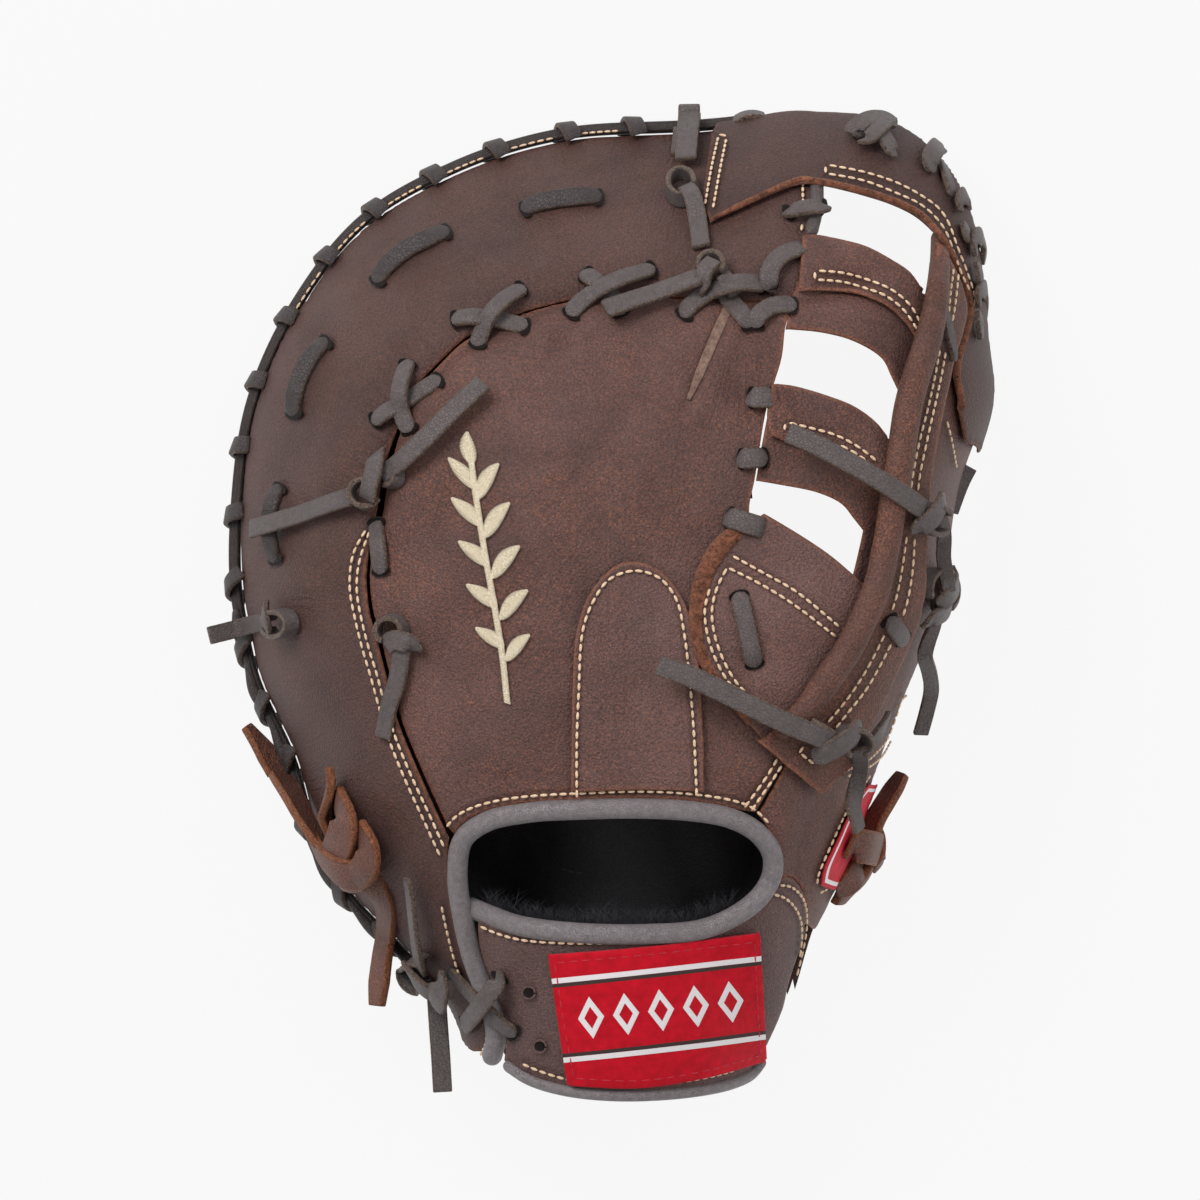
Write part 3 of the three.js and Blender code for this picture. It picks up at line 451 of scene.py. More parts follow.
def frames(line, ups):
    """Unit vectors along, up and sideways at each place of a line in space."""
    ahead = np.gradient(line, axis=0)
    ahead /= np.maximum(np.linalg.norm(ahead, axis=1, keepdims=True), 1e-9)
    side = np.cross(ahead, ups)
    side /= np.maximum(np.linalg.norm(side, axis=1, keepdims=True), 1e-9)
    return ahead, np.cross(side, ahead), side


# The rounded end of a cord: its radius and how far it stands out, as shares of the cord's radius
ROUND_TIP = [(0.0, 1.0), (0.55, 0.8), (0.85, 0.45)]


def tube(shape, line, radius, sides=12, flat=1.0, ups=None):
    """A round cord of leather along a line, with rounded ends; its radius may change along it."""
    line = np.asarray(line, float)
    radius = np.zeros(len(line)) + radius
    ups = np.tile([0.0, 0.0, 1.0], (len(line), 1)) if ups is None else ups
    ahead, up, side = frames(line, ups)
    first = [line[0] - ahead[0] * radius[0] * out for _, out in ROUND_TIP]
    last = [line[-1] + ahead[-1] * radius[-1] * out for _, out in reversed(ROUND_TIP)]
    line = np.vstack([first, line, last])
    radius = np.concatenate([
        [radius[0] * wide for wide, _ in ROUND_TIP], radius,
        [radius[-1] * wide for wide, _ in reversed(ROUND_TIP)],
    ])
    up, side = (
        np.vstack([part[:1]] * len(ROUND_TIP) + [part] + [part[-1:]] * len(ROUND_TIP)) for part in (up, side)
    )
    turns = np.arange(sides + 1) * TURN / sides
    across = np.cos(turns)[None, :, None] * side[:, None]
    high = np.sin(turns)[None, :, None] * up[:, None] * flat
    rows = line[:, None] + (across + high) * radius[:, None, None]
    weld(shape, net(shape, rows))


def thong(shape, line, ups, width=LACE_WIDTH, thick=LACE_THICK, taper=None, curl=0.0):
    """A flat strip cut from hide. Its two cut sides are raw, and curl bows its section."""
    line = np.asarray(line, float)
    ahead, up, side = frames(line, np.asarray(ups, float))
    count = len(line)
    wide = np.zeros(count) + width / 2
    if taper is not None:
        wide = wide * taper
    deep = np.zeros(count) + thick / 2
    ends = [(0.0, 0.0, 0.0), (0.94, 0.8, 0.05), (1.0, 1.0, 0.3)]
    head = np.array([line[0] + ahead[0] * step for _, _, step in ends])
    tail = np.array([line[-1] - ahead[-1] * step for _, _, step in reversed(ends)])
    line = np.vstack([head, line[1:-1], tail])
    wide, deep = (
        np.concatenate([
            [values[0] * end[column] for end in ends],
            values[1:-1],
            [values[-1] * end[column] for end in reversed(ends)],
        ])
        for column, values in enumerate((wide, deep))
    )
    up, side = (
        np.vstack([part[:1]] * len(ends) + [part[1:-1]] + [part[-1:]] * len(ends)) for part in (up, side)
    )
    corner = [(-1, 0.55), (-0.93, 0.92), (-0.78, 1), (-0.3, 1), (0.3, 1), (0.78, 1), (0.93, 0.92), (1, 0.55)]
    loop = corner + [(-x, -y) for x, y in corner]
    loop = np.array(loop + loop[:1], float)
    bow = curl * (1 - loop[:, 0] ** 2)
    rows = (
        line[:, None]
        + loop[None, :, 0, None] * wide[:, None, None] * side[:, None]
        + (loop[None, :, 1, None] * deep[:, None, None] + bow[None, :, None]) * up[:, None]
    )
    raw = np.tile((np.abs(loop[:, 0]) > 0.9).astype(float), (len(rows), 1))
    raw[0] = raw[1] = raw[-1] = raw[-2] = 1
    weld(shape, net(shape, rows, raw=raw))


BEAD_RINGS = [(-1.0, 0.02), (-0.84, 0.56), (-0.36, 0.94), (0.36, 0.94), (0.84, 0.56), (1.0, 0.02)]


def sew(shape, beads, slot=0):
    """Stitches, each a short length of thread from one place to another that dips at both ends."""
    turns = np.arange(9) * TURN / 8
    rows = []
    for first, last, up, thick, high in beads:
        span = last - first
        length = max(np.linalg.norm(span), 1e-6)
        ahead = span / length
        side = np.cross(ahead, up)
        side /= np.linalg.norm(side)
        rise = np.cross(side, ahead) * high
        around = (np.cos(turns)[:, None] * side + np.sin(turns)[:, None] * rise) * thick / 2
        for far, wide in BEAD_RINGS:
            rows.append((first + last) / 2 + ahead * far * (length / 2 + thick * 0.25) + around * wide)
    net(shape, rows, slot=slot, block=len(BEAD_RINGS))
    weld(shape, shape.verts, 0.012)


def smooth_px(points, spacing=1.0, closed=False):
    return along([plan(*p) for p in points], spacing, closed)


STITCH_GAP = 0.18


def stitch_row(shape, points, top, pitch=3.1, thick=1.02, lift=0.12):
    """Stitches along a line in pixels, on a surface that stands top millimetres off the back."""
    space, normals, _ = above(smooth_px(points, 0.6), top + lift)
    gaps = np.linalg.norm(np.diff(space, axis=0), axis=1)
    run = np.concatenate([[0], np.cumsum(gaps)])
    count = max(1, int(round(run[-1] / pitch)))

    def at(distance, values):
        return np.array([np.interp(distance, run, values[:, k]) for k in range(3)])

    step = run[-1] / count
    beads = []
    for index in range(count):
        first = at(step * (index + STITCH_GAP), space)
        last = at(step * (index + 1 - STITCH_GAP), space)
        beads.append((first, last, at(step * (index + 0.5), normals), thick, 0.8))
    sew(shape, beads)


def inside(spots, outline):
    """Which places in the plane lie inside a closed outline."""
    result = np.zeros(len(spots), bool)
    x, y = spots[:, 0], spots[:, 1]
    ends = np.roll(outline, -1, axis=0)
    for (ax, ay), (bx, by) in zip(outline, ends):
        if ay != by:
            crosses = (ay > y) != (by > y)
            result ^= crosses & (x < (bx - ax) * (y - ay) / (by - ay) + ax)
    return result


def ground_of(spots, offset):
    """The places on the back under points that are seen at these places and stand off it by offset."""
    return above(spots, offset)[2]


class Rim:
    """A stretch of the mitt's edge between two directions, in degrees."""

    def __init__(self, first, last):
        self.first, self.last = first, last

    def ground(self):
        count = max(2, int(abs(self.last - self.first) * 1.6))
        angle = np.radians(np.linspace(self.first, self.last, count))
        reach = edge_column(angle, 0) * NEAR_EDGE
        return np.stack([reach * np.cos(angle), reach * np.sin(angle)], -1)


def outline_ground(runs, top):
    """A closed outline on the back, and its corners, from runs of pixels and stretches of the edge."""
    parts, corners = [], []
    for run in runs:
        if isinstance(run, Rim):
            spots = run.ground()
        else:
            spots = ground_of(smooth_px(run, 1.0), top)
        corners += [spots[0], spots[-1]]
        parts.append(spots[:-1])
    return np.vstack(parts), np.array(corners)


def borders(shape):
    """The vertices along each border of a sheet, in order."""
    follow = {}
    for edge in shape.edges:
        if edge.is_boundary:
            first, last = edge.verts
            follow.setdefault(first, []).append(last)
            follow.setdefault(last, []).append(first)
    seen, loops = set(), []
    for first in follow:
        if first in seen:
            continue
        loop, ahead = [first], [first]
        seen.add(first)
        while ahead:
            ahead = [vert for vert in follow[loop[-1]] if vert not in seen][:1]
            loop += ahead
            seen.update(ahead)
        loops.append(loop)
    return loops


def spread_border(run, total, fixed):
    """Even distances along the outline for the vertices of a border, but for those that stay."""
    turns = np.diff(np.append(run, run[0]))
    turns = (turns + total / 2) % total - total / 2
    if abs(abs(turns.sum()) - total) > 1:
        return run
    way = math.copysign(1, turns.sum())
    stops = np.maximum.accumulate(np.concatenate([[0], np.cumsum(turns[:-1] * way)]))
    for _ in range(16):
        before, after = np.roll(stops, 1), np.roll(stops, -1)
        before[0] -= total
        after[-1] += total
        stops = np.where(fixed, stops, (before + after) / 4 + stops / 2)
    return run[0] + stops * way


def leather_sheet(name, runs, base, thickness, cell, skins, nodes, seams=(), extra=None):
    """A cut sheet of leather that lies on the back at a height, with its wall and its cut edge."""
    ground, corners = outline_ground(runs, base + thickness)
    flat, corners = unroll(ground), unroll(corners)
    low, high = flat.min(0) - cell, flat.max(0) + cell
    count = np.ceil((high - low) / cell).astype(int)
    shape = start()
    bmesh.ops.create_grid(shape, x_segments=int(count[0]), y_segments=int(count[1]), size=0.5)
    for vert in shape.verts:
        vert.co.x = low[0] + (vert.co.x + 0.5) * (high[0] - low[0])
        vert.co.y = low[1] + (vert.co.y + 0.5) * (high[1] - low[1])
    faces = list(shape.faces)
    middles = np.array([face.calc_center_median()[:2] for face in faces])
    keep = inside(middles, flat)
    bmesh.ops.delete(shape, geom=[face for face, held in zip(faces, keep) if not held], context="FACES")
    loose = [face for face in shape.faces if sum(edge.is_boundary for edge in face.edges) > 2]
    bmesh.ops.delete(shape, geom=loose, context="FACES")
    shape.verts.ensure_lookup_table()
    spots = np.array([vert.co[:2] for vert in shape.verts])
    place, away, run = nearest(spots, flat, closed=True)
    outline = np.vstack([flat, flat[:1]])
    marks = np.concatenate([[0], np.cumsum(np.linalg.norm(np.diff(outline, axis=0), axis=1))])
    corner_runs = nearest(corners, flat, closed=True)[2]
    for loop in borders(shape):
        index = np.array([vert.index for vert in loop])
        stops = run[index]
        fixed = np.zeros(len(loop), bool)
        for corner, stop in zip(corners, corner_runs):
            gap = np.linalg.norm(place[index] - corner, axis=1) + fixed * 99
            if gap.min() < 1.6 * cell:
                fixed[gap.argmin()] = True
                stops[gap.argmin()] = stop
        stops = spread_border(stops, marks[-1], fixed) % marks[-1]
        for vert, stop in zip(loop, stops):
            vert.co.x = np.interp(stop, marks, outline[:, 0])
            vert.co.y = np.interp(stop, marks, outline[:, 1])
    near = [vert for vert in shape.verts if not vert.is_boundary and away[vert.index] < 2.6 * cell]
    for _ in range(6):
        bmesh.ops.smooth_vert(shape, verts=near, factor=0.6, use_axis_x=True, use_axis_y=True)
    spots = np.array([vert.co[:2] for vert in shape.verts])
    away = np.minimum(away, FAR)
    close = away < 4 * cell
    away[close] = nearest(spots[close], flat, closed=True)[1]
    share, angle = roll_up(spots)
    reach = edge_column(angle, 0) * share
    below = np.stack([reach * np.cos(angle), reach * np.sin(angle)], -1)
    offset = base + relief(below)
    if extra is not None:
        offset = offset + extra(below)
    points, normals = back_with_normal(share, angle)
    points = points + normals * offset[:, None]
    stitched = np.full(len(spots), FAR)
    for seam in seams:
        line = ground_of(smooth_px(seam, 3.0), base + thickness)
        close = np.all((below > line.min(0) - 4) & (below < line.max(0) + 4), axis=1)
        if close.any():
            stitched[close] = np.minimum(stitched[close], nearest(below[close], line)[1])
    seam_layer = shape.verts.layers.float["seam"]
    rim_layer = shape.verts.layers.float["rim"]
    for vert, point, distance, stitches in zip(shape.verts, points, away, stitched):
        vert.co = point
        vert[rim_layer] = min(distance, FAR)
        vert[seam_layer] = stitches
    bmesh.ops.recalc_face_normals(shape, faces=list(shape.faces))
    flip = sum(face.normal.z * face.calc_area() for face in shape.faces) < 0
    if flip:
        bmesh.ops.reverse_faces(shape, faces=list(shape.faces))
    for face in shape.faces:
        face.smooth = True
    return finish_piece(name, shape, skins, nodes, thickness, 1, min(0.5, thickness * 0.22))


# Finishes. Colours are linear, and every pattern reads the piece's own coordinates in metres.
def tone(red, green, blue):
    """A colour as a screen shows it, from 0 to 255, made linear."""
    return tuple((value / 255 / 12.92) if value <= 10 else ((value / 255 + 0.055) / 1.055) ** 2.4
                 for value in (red, green, blue)) + (1.0,)


def add(tree, kind, values=None, **settings):
    made = tree.nodes.new(kind)
    for key, value in settings.items():
        setattr(made, key, value)
    for key, value in (values or {}).items():
        if isinstance(value, bpy.types.NodeSocket):
            tree.links.new(value, made.inputs[key])
        else:
            made.inputs[key].default_value = value
    return made


def ramp(tree, factor, low, high, first=0.0, last=1.0):
    made = add(tree, "ShaderNodeMapRange", {0: factor, 1: low, 2: high, 3: first, 4: last})
    return made.outputs[0]


def maths(tree, operation, first, second=0.5):
    return add(tree, "ShaderNodeMath", {0: first, 1: second}, operation=operation).outputs[0]


def blend_colours(tree, factor, first, second, how="MIX"):
    made = add(tree, "ShaderNodeMix", data_type="RGBA", blend_type=how)
    for socket, value in ((made.inputs[0], factor), (made.inputs[6], first), (made.inputs[7], second)):
        if isinstance(value, bpy.types.NodeSocket):
            tree.links.new(value, socket)
        else:
            socket.default_value = value
    return made.outputs[2]


def group(name, inputs, outputs):
    tree = bpy.data.node_groups.new(name, "ShaderNodeTree")
    for label, kind, value in inputs:
        socket = tree.interface.new_socket(label, in_out="INPUT", socket_type=kind)
        if value is not None:
            socket.default_value = value
    for label, kind in outputs:
        tree.interface.new_socket(label, in_out="OUTPUT", socket_type=kind)
    return tree, tree.nodes.new("NodeGroupInput"), tree.nodes.new("NodeGroupOutput")


def noise_node(tree, place, scale, detail=4.0, rough=0.55, warp=0.0):
    made = add(tree, "ShaderNodeTexNoise", {
        "Vector": place, "Scale": scale, "Detail": detail, "Roughness": rough, "Distortion": warp,
    })
    return made.outputs["Fac"]


def make_hide_group():
    """Grain of oiled hide: pebbles, pores and creases drawn out from a place, with blotches and flecks."""
    tree, given, out = group("Oiled hide", [
        ("Place", "NodeSocketVector", None),
        ("Drawn from", "NodeSocketVector", None),
        ("Pebble", "NodeSocketFloat", 1.0),
        ("Crease", "NodeSocketFloat", 1.0),
    ], [("Height", "NodeSocketFloat"), ("Blotch", "NodeSocketFloat"), ("Speckle", "NodeSocketFloat"),
        ("Pore", "NodeSocketFloat")])
    place = given.outputs["Place"]
    cells = add(tree, "ShaderNodeTexVoronoi", {"Vector": place, "Scale": 1250.0, "Randomness": 1.0},
                feature="SMOOTH_F1")
    cells.inputs["Smoothness"].default_value = 0.35
    pebble = maths(tree, "MULTIPLY", cells.outputs["Distance"], given.outputs["Pebble"])
    fine = noise_node(tree, place, 2100.0, 3.0, 0.65)
    away = add(tree, "ShaderNodeVectorMath", {0: place, 1: given.outputs["Drawn from"]}, operation="SUBTRACT")
    split = add(tree, "ShaderNodeSeparateXYZ", {0: away.outputs[0]})
    angle = maths(tree, "ARCTAN2", split.outputs[1], split.outputs[0])
    reach = add(tree, "ShaderNodeVectorMath", {0: away.outputs[0]}, operation="LENGTH").outputs["Value"]
    fan = add(tree, "ShaderNodeCombineXYZ", {
        0: maths(tree, "MULTIPLY", angle, 34.0), 1: maths(tree, "MULTIPLY", reach, 60.0)})
    drawn = noise_node(tree, fan.outputs[0], 1.0, 4.0, 0.6, 0.9)
    drawn = maths(tree, "ABSOLUTE", maths(tree, "SUBTRACT", drawn, 0.5))
    drawn = ramp(tree, drawn, 0.0, 0.16)
    where = ramp(tree, noise_node(tree, place, 34.0, 2.0, 0.5), 0.4, 0.62)
    where = maths(tree, "MULTIPLY", where, ramp(tree, reach, 0.012, 0.05))
    drawn = maths(tree, "MULTIPLY", maths(tree, "MULTIPLY", drawn, where), given.outputs["Crease"])
    total = maths(tree, "ADD", maths(tree, "MULTIPLY", pebble, 0.6), maths(tree, "MULTIPLY", fine, 0.45))
    total = maths(tree, "ADD", total, maths(tree, "MULTIPLY", drawn, 0.9))
    tree.links.new(total, out.inputs["Height"])
    blotch = noise_node(tree, place, 26.0, 5.0, 0.62, 0.4)
    tree.links.new(ramp(tree, blotch, 0.36, 0.66), out.inputs["Blotch"])
    speckle = noise_node(tree, place, 1150.0, 4.0, 0.72, 0.5)
    tree.links.new(ramp(tree, speckle, 0.44, 0.66), out.inputs["Speckle"])
    pores = noise_node(tree, place, 1700.0, 3.0, 0.7)
    tree.links.new(ramp(tree, pores, 0.34, 0.64), out.inputs["Pore"])
    return tree


HIDE = make_hide_group()


def skin(name):
    made = bpy.data.materials.new(name)
    made.use_nodes = True
    tree = made.node_tree
    tree.nodes.clear()
    shader = tree.nodes.new("ShaderNodeBsdfPrincipled")
    tree.links.new(shader.outputs[0], tree.nodes.new("ShaderNodeOutputMaterial").inputs[0])
    place = tree.nodes.new("ShaderNodeTexCoord").outputs["Object"]
    return made, tree, shader, place


def bump(tree, shader, height, distance, strength=1.0):
    made = add(tree, "ShaderNodeBump", {"Height": height, "Strength": strength, "Distance": distance})
    tree.links.new(made.outputs[0], shader.inputs["Normal"])


def mask(tree, name):
    return add(tree, "ShaderNodeAttribute", attribute_name=name).outputs["Fac"]


def oiled_leather(name, dark, middle, warm, pebble=1.0, warmth=0.55, drawn_from=(600, 600), crease=1.0,
                  cut=None):
    """Brown oiled hide that turns lighter and redder where it is pulled, and darker where it is oiled."""
    made, tree, shader, place = skin(name)
    hide = add(tree, "ShaderNodeGroup", {}, node_tree=HIDE)
    tree.links.new(place, hide.inputs["Place"])
    centre = np.array([*plan(*drawn_from), 60.0]) + MIDDLE
    hide.inputs["Drawn from"].default_value = tuple(centre * MM)
    hide.inputs["Pebble"].default_value = pebble
    hide.inputs["Crease"].default_value = crease
    colour = blend_colours(tree, hide.outputs["Blotch"], tone(*dark), tone(*middle))
    pulled = maths(tree, "MULTIPLY", hide.outputs["Speckle"], warmth)
    patch = ramp(tree, noise_node(tree, place, 42.0, 4.0, 0.6, 0.5), 0.36, 0.68, 0.25, 1.0)
    colour = blend_colours(tree, maths(tree, "MULTIPLY", pulled, patch), colour, tone(*warm))
    worn = ramp(tree, mask(tree, "rim"), 0.0, 1.6, 0.6, 0.0)
    colour = blend_colours(tree, worn, colour, tone(*warm))
    pore = ramp(tree, hide.outputs["Pore"], 0.0, 1.0, 0.62, 0.0)
    colour = blend_colours(tree, pore, colour, tone(34, 20, 17))
    # painted shade: the leather is drawn darker within about 1.5 mm of a stitch line, where shade falls in
    # the stitch groove
    seam_shade = ramp(tree, mask(tree, "seam"), 0.3, 1.5, 0.32, 0.0)
    colour = blend_colours(tree, seam_shade, colour, tone(46, 26, 22))
    height = hide.outputs["Height"]
    if cut is not None:
        nap = noise_node(tree, place, 1500.0, 5.0, 0.75, 1.0)
        shown = ramp(tree, mask(tree, "raw"), 0.15, 0.7)
        flesh = blend_colours(tree, ramp(tree, nap, 0.36, 0.66), tone(74, 42, 30), tone(*cut))
        colour = blend_colours(tree, shown, colour, flesh)
        height = maths(tree, "ADD", height, maths(tree, "MULTIPLY", maths(tree, "MULTIPLY", nap, shown), 1.6))
    tree.links.new(colour, shader.inputs["Base Color"])
    gloss = maths(tree, "ADD", maths(tree, "MULTIPLY", hide.outputs["Blotch"], 0.08), 0.5)
    tree.links.new(gloss, shader.inputs["Roughness"])
    shader.inputs["Specular IOR Level"].default_value = 0.26
    groove = ramp(tree, mask(tree, "seam"), 0.2, 1.8, 0.0, 1.1)
    bump(tree, shader, maths(tree, "ADD", height, groove), 0.00055, 0.9)
    return made


def raw_suede(name, dark, light, nap=1.0):
    """The cut edge or flesh side of hide: a matt nap of short fibres."""
    made, tree, shader, place = skin(name)
    fibre = noise_node(tree, place, 1900.0, 6.0, 0.75, 1.2)
    clump = noise_node(tree, place, 420.0, 4.0, 0.65, 0.8)
    both = maths(tree, "ADD", maths(tree, "MULTIPLY", fibre, 0.6), maths(tree, "MULTIPLY", clump, 0.5))
    tree.links.new(blend_colours(tree, ramp(tree, both, 0.44, 0.68), tone(*dark), tone(*light)),
                   shader.inputs["Base Color"])
    shader.inputs["Roughness"].default_value = 0.95
    shader.inputs["Specular IOR Level"].default_value = 0.1
    shader.inputs["Sheen Weight"].default_value = 0.12
    bump(tree, shader, both, 0.0009 * nap, 0.9)
    return made


def grey_hide(name, face, cut, shine, crease_scale=900.0, creases=0.5):
    """Grey dyed hide: smooth on its faces, and lighter and fibrous along its cut sides."""
    made, tree, shader, place = skin(name)
    fine = noise_node(tree, place, 1900.0, 4.0, 0.7)
    crease = add(tree, "ShaderNodeTexVoronoi", {"Vector": place, "Scale": crease_scale},
                 feature="DISTANCE_TO_EDGE")
    line = ramp(tree, crease.outputs["Distance"], 0.0, 0.12)
    mottle_and_crease_shade = ramp(tree, noise_node(tree, place, 520.0, 6.0, 0.75), 0.32, 0.68, 0.72, 1.22)
    # painted shade: the uneven grey is made up to 16% darker along the crease lines, where shade falls in the
    # creases
    mottle_and_crease_shade = maths(tree, "MULTIPLY", mottle_and_crease_shade, ramp(tree, line, 0.0, 1.0, 0.84, 1.0))
    colour = blend_colours(tree, 1.0, tone(*face), add(tree, "ShaderNodeCombineColor", {
        0: mottle_and_crease_shade, 1: mottle_and_crease_shade, 2: mottle_and_crease_shade}).outputs[0], "MULTIPLY")
    fibre = ramp(tree, noise_node(tree, place, 1500.0, 5.0, 0.75, 1.0), 0.38, 0.64)
    raw = blend_colours(tree, fibre, tone(52, 43, 40), tone(*cut))
    colour = blend_colours(tree, ramp(tree, mask(tree, "raw"), 0.4, 0.95), colour, raw)
    tree.links.new(colour, shader.inputs["Base Color"])
    shader.inputs["Roughness"].default_value = shine
    shader.inputs["Specular IOR Level"].default_value = 0.35
    height = maths(tree, "ADD", maths(tree, "MULTIPLY", fine, 0.6), maths(tree, "MULTIPLY", line, creases))
    fuzz = maths(tree, "MULTIPLY", mask(tree, "raw"), 1.6)
    height = maths(tree, "ADD", height, maths(tree, "MULTIPLY", fibre, fuzz))
    bump(tree, shader, height, 0.0003, 0.9)
    return made


def thread(name, light, dark):
    made, tree, shader, place = skin(name)
    twist = noise_node(tree, place, 2800.0, 3.0, 0.6)
    tree.links.new(blend_colours(tree, ramp(tree, twist, 0.35, 0.65), tone(*dark), tone(*light)),
                   shader.inputs["Base Color"])
    shader.inputs["Roughness"].default_value = 0.6
    bump(tree, shader, twist, 0.0003, 0.8)
    return made


CLOTH_RIBS = 2600.0
CLOTH_DEPTH = 0.00012


def plain_cloth(name, light, dark):
    """Tightly woven cloth: fine ribs both ways over a slightly uneven colour."""
    made, tree, shader, place = skin(name)
    split = add(tree, "ShaderNodeSeparateXYZ", {0: place})
    ribs = [maths(tree, "SINE", maths(tree, "MULTIPLY", split.outputs[axis], CLOTH_RIBS)) for axis in (0, 1)]
    woven = maths(tree, "MULTIPLY", *ribs)
    uneven = noise_node(tree, place, 240.0, 4.0, 0.6)
    shade = maths(tree, "ADD", maths(tree, "MULTIPLY", woven, 0.12), uneven)
    tree.links.new(blend_colours(tree, ramp(tree, shade, 0.3, 0.7), tone(*dark), tone(*light)),
                   shader.inputs["Base Color"])
    shader.inputs["Roughness"].default_value = 0.8
    bump(tree, shader, woven, CLOTH_DEPTH, 0.7)
    return made


BROWN = oiled_leather(
    "Crescent leather", (76, 56, 53), (100, 76, 73), (142, 90, 68), 1.0, 0.6, (600, 600), 0.5)
HAND_BROWN = oiled_leather(
    "Hand leather", (88, 64, 60), (113, 86, 82), (168, 106, 80), 0.95, 0.72, (745, 290), 0.5)
PAD_BROWN = oiled_leather(
    "Pad leather", (96, 72, 69), (124, 96, 92), (170, 110, 86), 0.95, 0.65, (640, 300), 0.5)
POST_BROWN = oiled_leather(
    "Post leather", (90, 63, 56), (114, 82, 74), (184, 116, 86), 1.1, 0.75, (700, 500), 0.2)
STRAP_BROWN = oiled_leather(
    "Strap leather", (102, 80, 78), (124, 100, 98), (150, 106, 90), 1.0, 0.5, (640, 700), 0.3)
WEB_BROWN = oiled_leather(
    "Web strap leather", (66, 48, 46), (88, 67, 64), (134, 84, 64), 1.0, 0.55, (500, 700), 0.3)
SUEDE = raw_suede("Raw edge", (64, 39, 30), (164, 106, 80))
DART_SUEDE = raw_suede("Raw fold", (98, 76, 68), (152, 124, 110), 0.6)
TIE_BROWN = oiled_leather("Tie leather", (100, 70, 62), (130, 93, 83), (172, 108, 80), 0.9, 0.7, (300, 500),
                          0.6, (180, 114, 78))
LACE_GREY = grey_hide("Lace", (96, 87, 86), (164, 140, 124), 0.46)
DARK_LACE = grey_hide("Dark lace", (70, 63, 62), (142, 118, 102), 0.46)
WELT = grey_hide("Welt", (58, 49, 47), (58, 49, 47), 0.4, 1300.0, 0.3)
BINDING = grey_hide("Binding", (138, 130, 132), (138, 130, 132), 0.36, 1300.0, 0.7)
THREAD = thread("Thread", (255, 232, 204), (212, 164, 120))
# painted shade: a near-black finish for the flat patches that stand in for the shade inside lace slits and
# eyelet holes
HOLE_SHADE = raw_suede("Lace hole", (14, 9, 8), (30, 18, 14), 0.4)
LINING_SKIN = oiled_leather("Lining", (40, 41, 44), (54, 55, 59), (60, 61, 66), 0.8, 0.3, (600, 600), 0.4)
FLEECE_SKIN = raw_suede("Fleece", (26, 26, 29), (80, 80, 87))
CREAM = thread("Embroidery", (246, 236, 214), (190, 170, 136))


# Lines of the mitt in the photo's pixels
SEAM_TOP_OUTER = [
    (372, 527), (374, 512), (377, 490), (383, 462), (392, 436), (402, 411), (418, 379), (439, 356),
    (459, 337), (476, 327), (515, 311), (546, 302), (582, 295), (620, 293), (668, 295), (700, 297),
    (735, 299), (770, 299), (794, 296),
]
SEAM_TOP_HAND = [
    (793, 299), (770, 302), (735, 302), (700, 300), (668, 298), (620, 296), (582, 298), (546, 305),
    (515, 314), (476, 330), (460, 340), (441, 359), (421, 382), (406, 414), (398, 440), (391, 468),
    (386, 490), (383, 512), (377, 529),
]
SEAM_LOW_OUTER = [
    (372, 527), (368, 555), (366, 583), (369, 613), (376, 640), (384, 670), (397, 720), (415, 764),
    (431, 800), (448, 838),
]
SEAM_LOW_HAND = [
    (377, 529), (371, 556), (369, 583), (372, 612), (379, 639), (387, 669), (400, 719), (418, 763),
    (434, 799), (452, 836),
]
HEEL_SIDE = [(481, 1053), (485, 1038), (481, 1012), (470, 984), (461, 957), (452, 917), (447, 872),
             (448, 838)]
HOLE_TOP = [
    (452, 836), (462, 824), (482, 812), (528, 802), (580, 799),
    (640, 798), (694, 801), (733, 808), (756, 813),
]
WEB_SIDE = [
    (857, 592), (850, 590), (800, 572), (755, 545), (748, 512), (754, 478), (759, 446), (765, 412),
    (773, 384), (781, 357), (785, 325), (793, 299),
]
CRESCENT_WEB_SIDE = [(794, 296), (797, 285), (802, 267), (807, 236), (813, 186), (813, 118)]
THUMB_SEAM_HAND = [(756, 813), (785, 764), (806, 722), (835, 668), (853, 620), (857, 592)]
THUMB_SEAM_THUMB = [(858, 596), (856, 621), (838, 670), (809, 724), (788, 766), (759, 815)]
HOLE_RIGHT = [(759, 815), (765, 823), (774, 838), (779, 853), (781, 868), (779, 882)]
STRAP_TOP = [
    (779, 882), (767, 903), (740, 924), (703, 938), (650, 942),
    (580, 941), (518, 934), (484, 923), (476, 918),
]
STRAP_LEFT = [(476, 918), (478, 953), (487, 978), (499, 1008), (503, 1038), (501, 1065)]
STRAP_BOTTOM = [
    (501, 1065), (509, 1069), (531, 1079), (566, 1089), (620, 1094), (690, 1091), (733, 1083), (751, 1075),
    (762, 1062),
]
STRAP_RIGHT = [(762, 1062), (770, 1050), (786, 1014), (794, 981), (804, 950), (809, 926)]
STRAP_TURN = [(809, 926), (810, 903), (805, 889), (796, 879), (787, 877), (779, 882)]
WRIST_ROLL_LINE = [
    (492, 1056), (496, 1038), (492, 1010), (481, 981), (472, 955), (463, 915), (458, 872), (464, 838),
    (488, 820), (530, 811), (580, 808), (640, 807), (694, 810), (730, 817), (756, 831), (771, 852),
    (771, 874), (760, 894), (735, 914), (700, 928), (650, 932), (580, 931), (520, 924),
    (487, 913), (470, 906),
]
STRAP_ROLL_LINE = [
    (509, 1066), (530, 1079), (565, 1089), (620, 1094), (690, 1091), (735, 1083), (752, 1075), (761, 1064),
]
FINGER_PAD_LINE = [
    (571, 791), (572, 720), (573, 680), (577, 630), (592, 590), (622, 563), (655, 568), (683, 600),
    (697, 655), (702, 720), (704, 791),
]
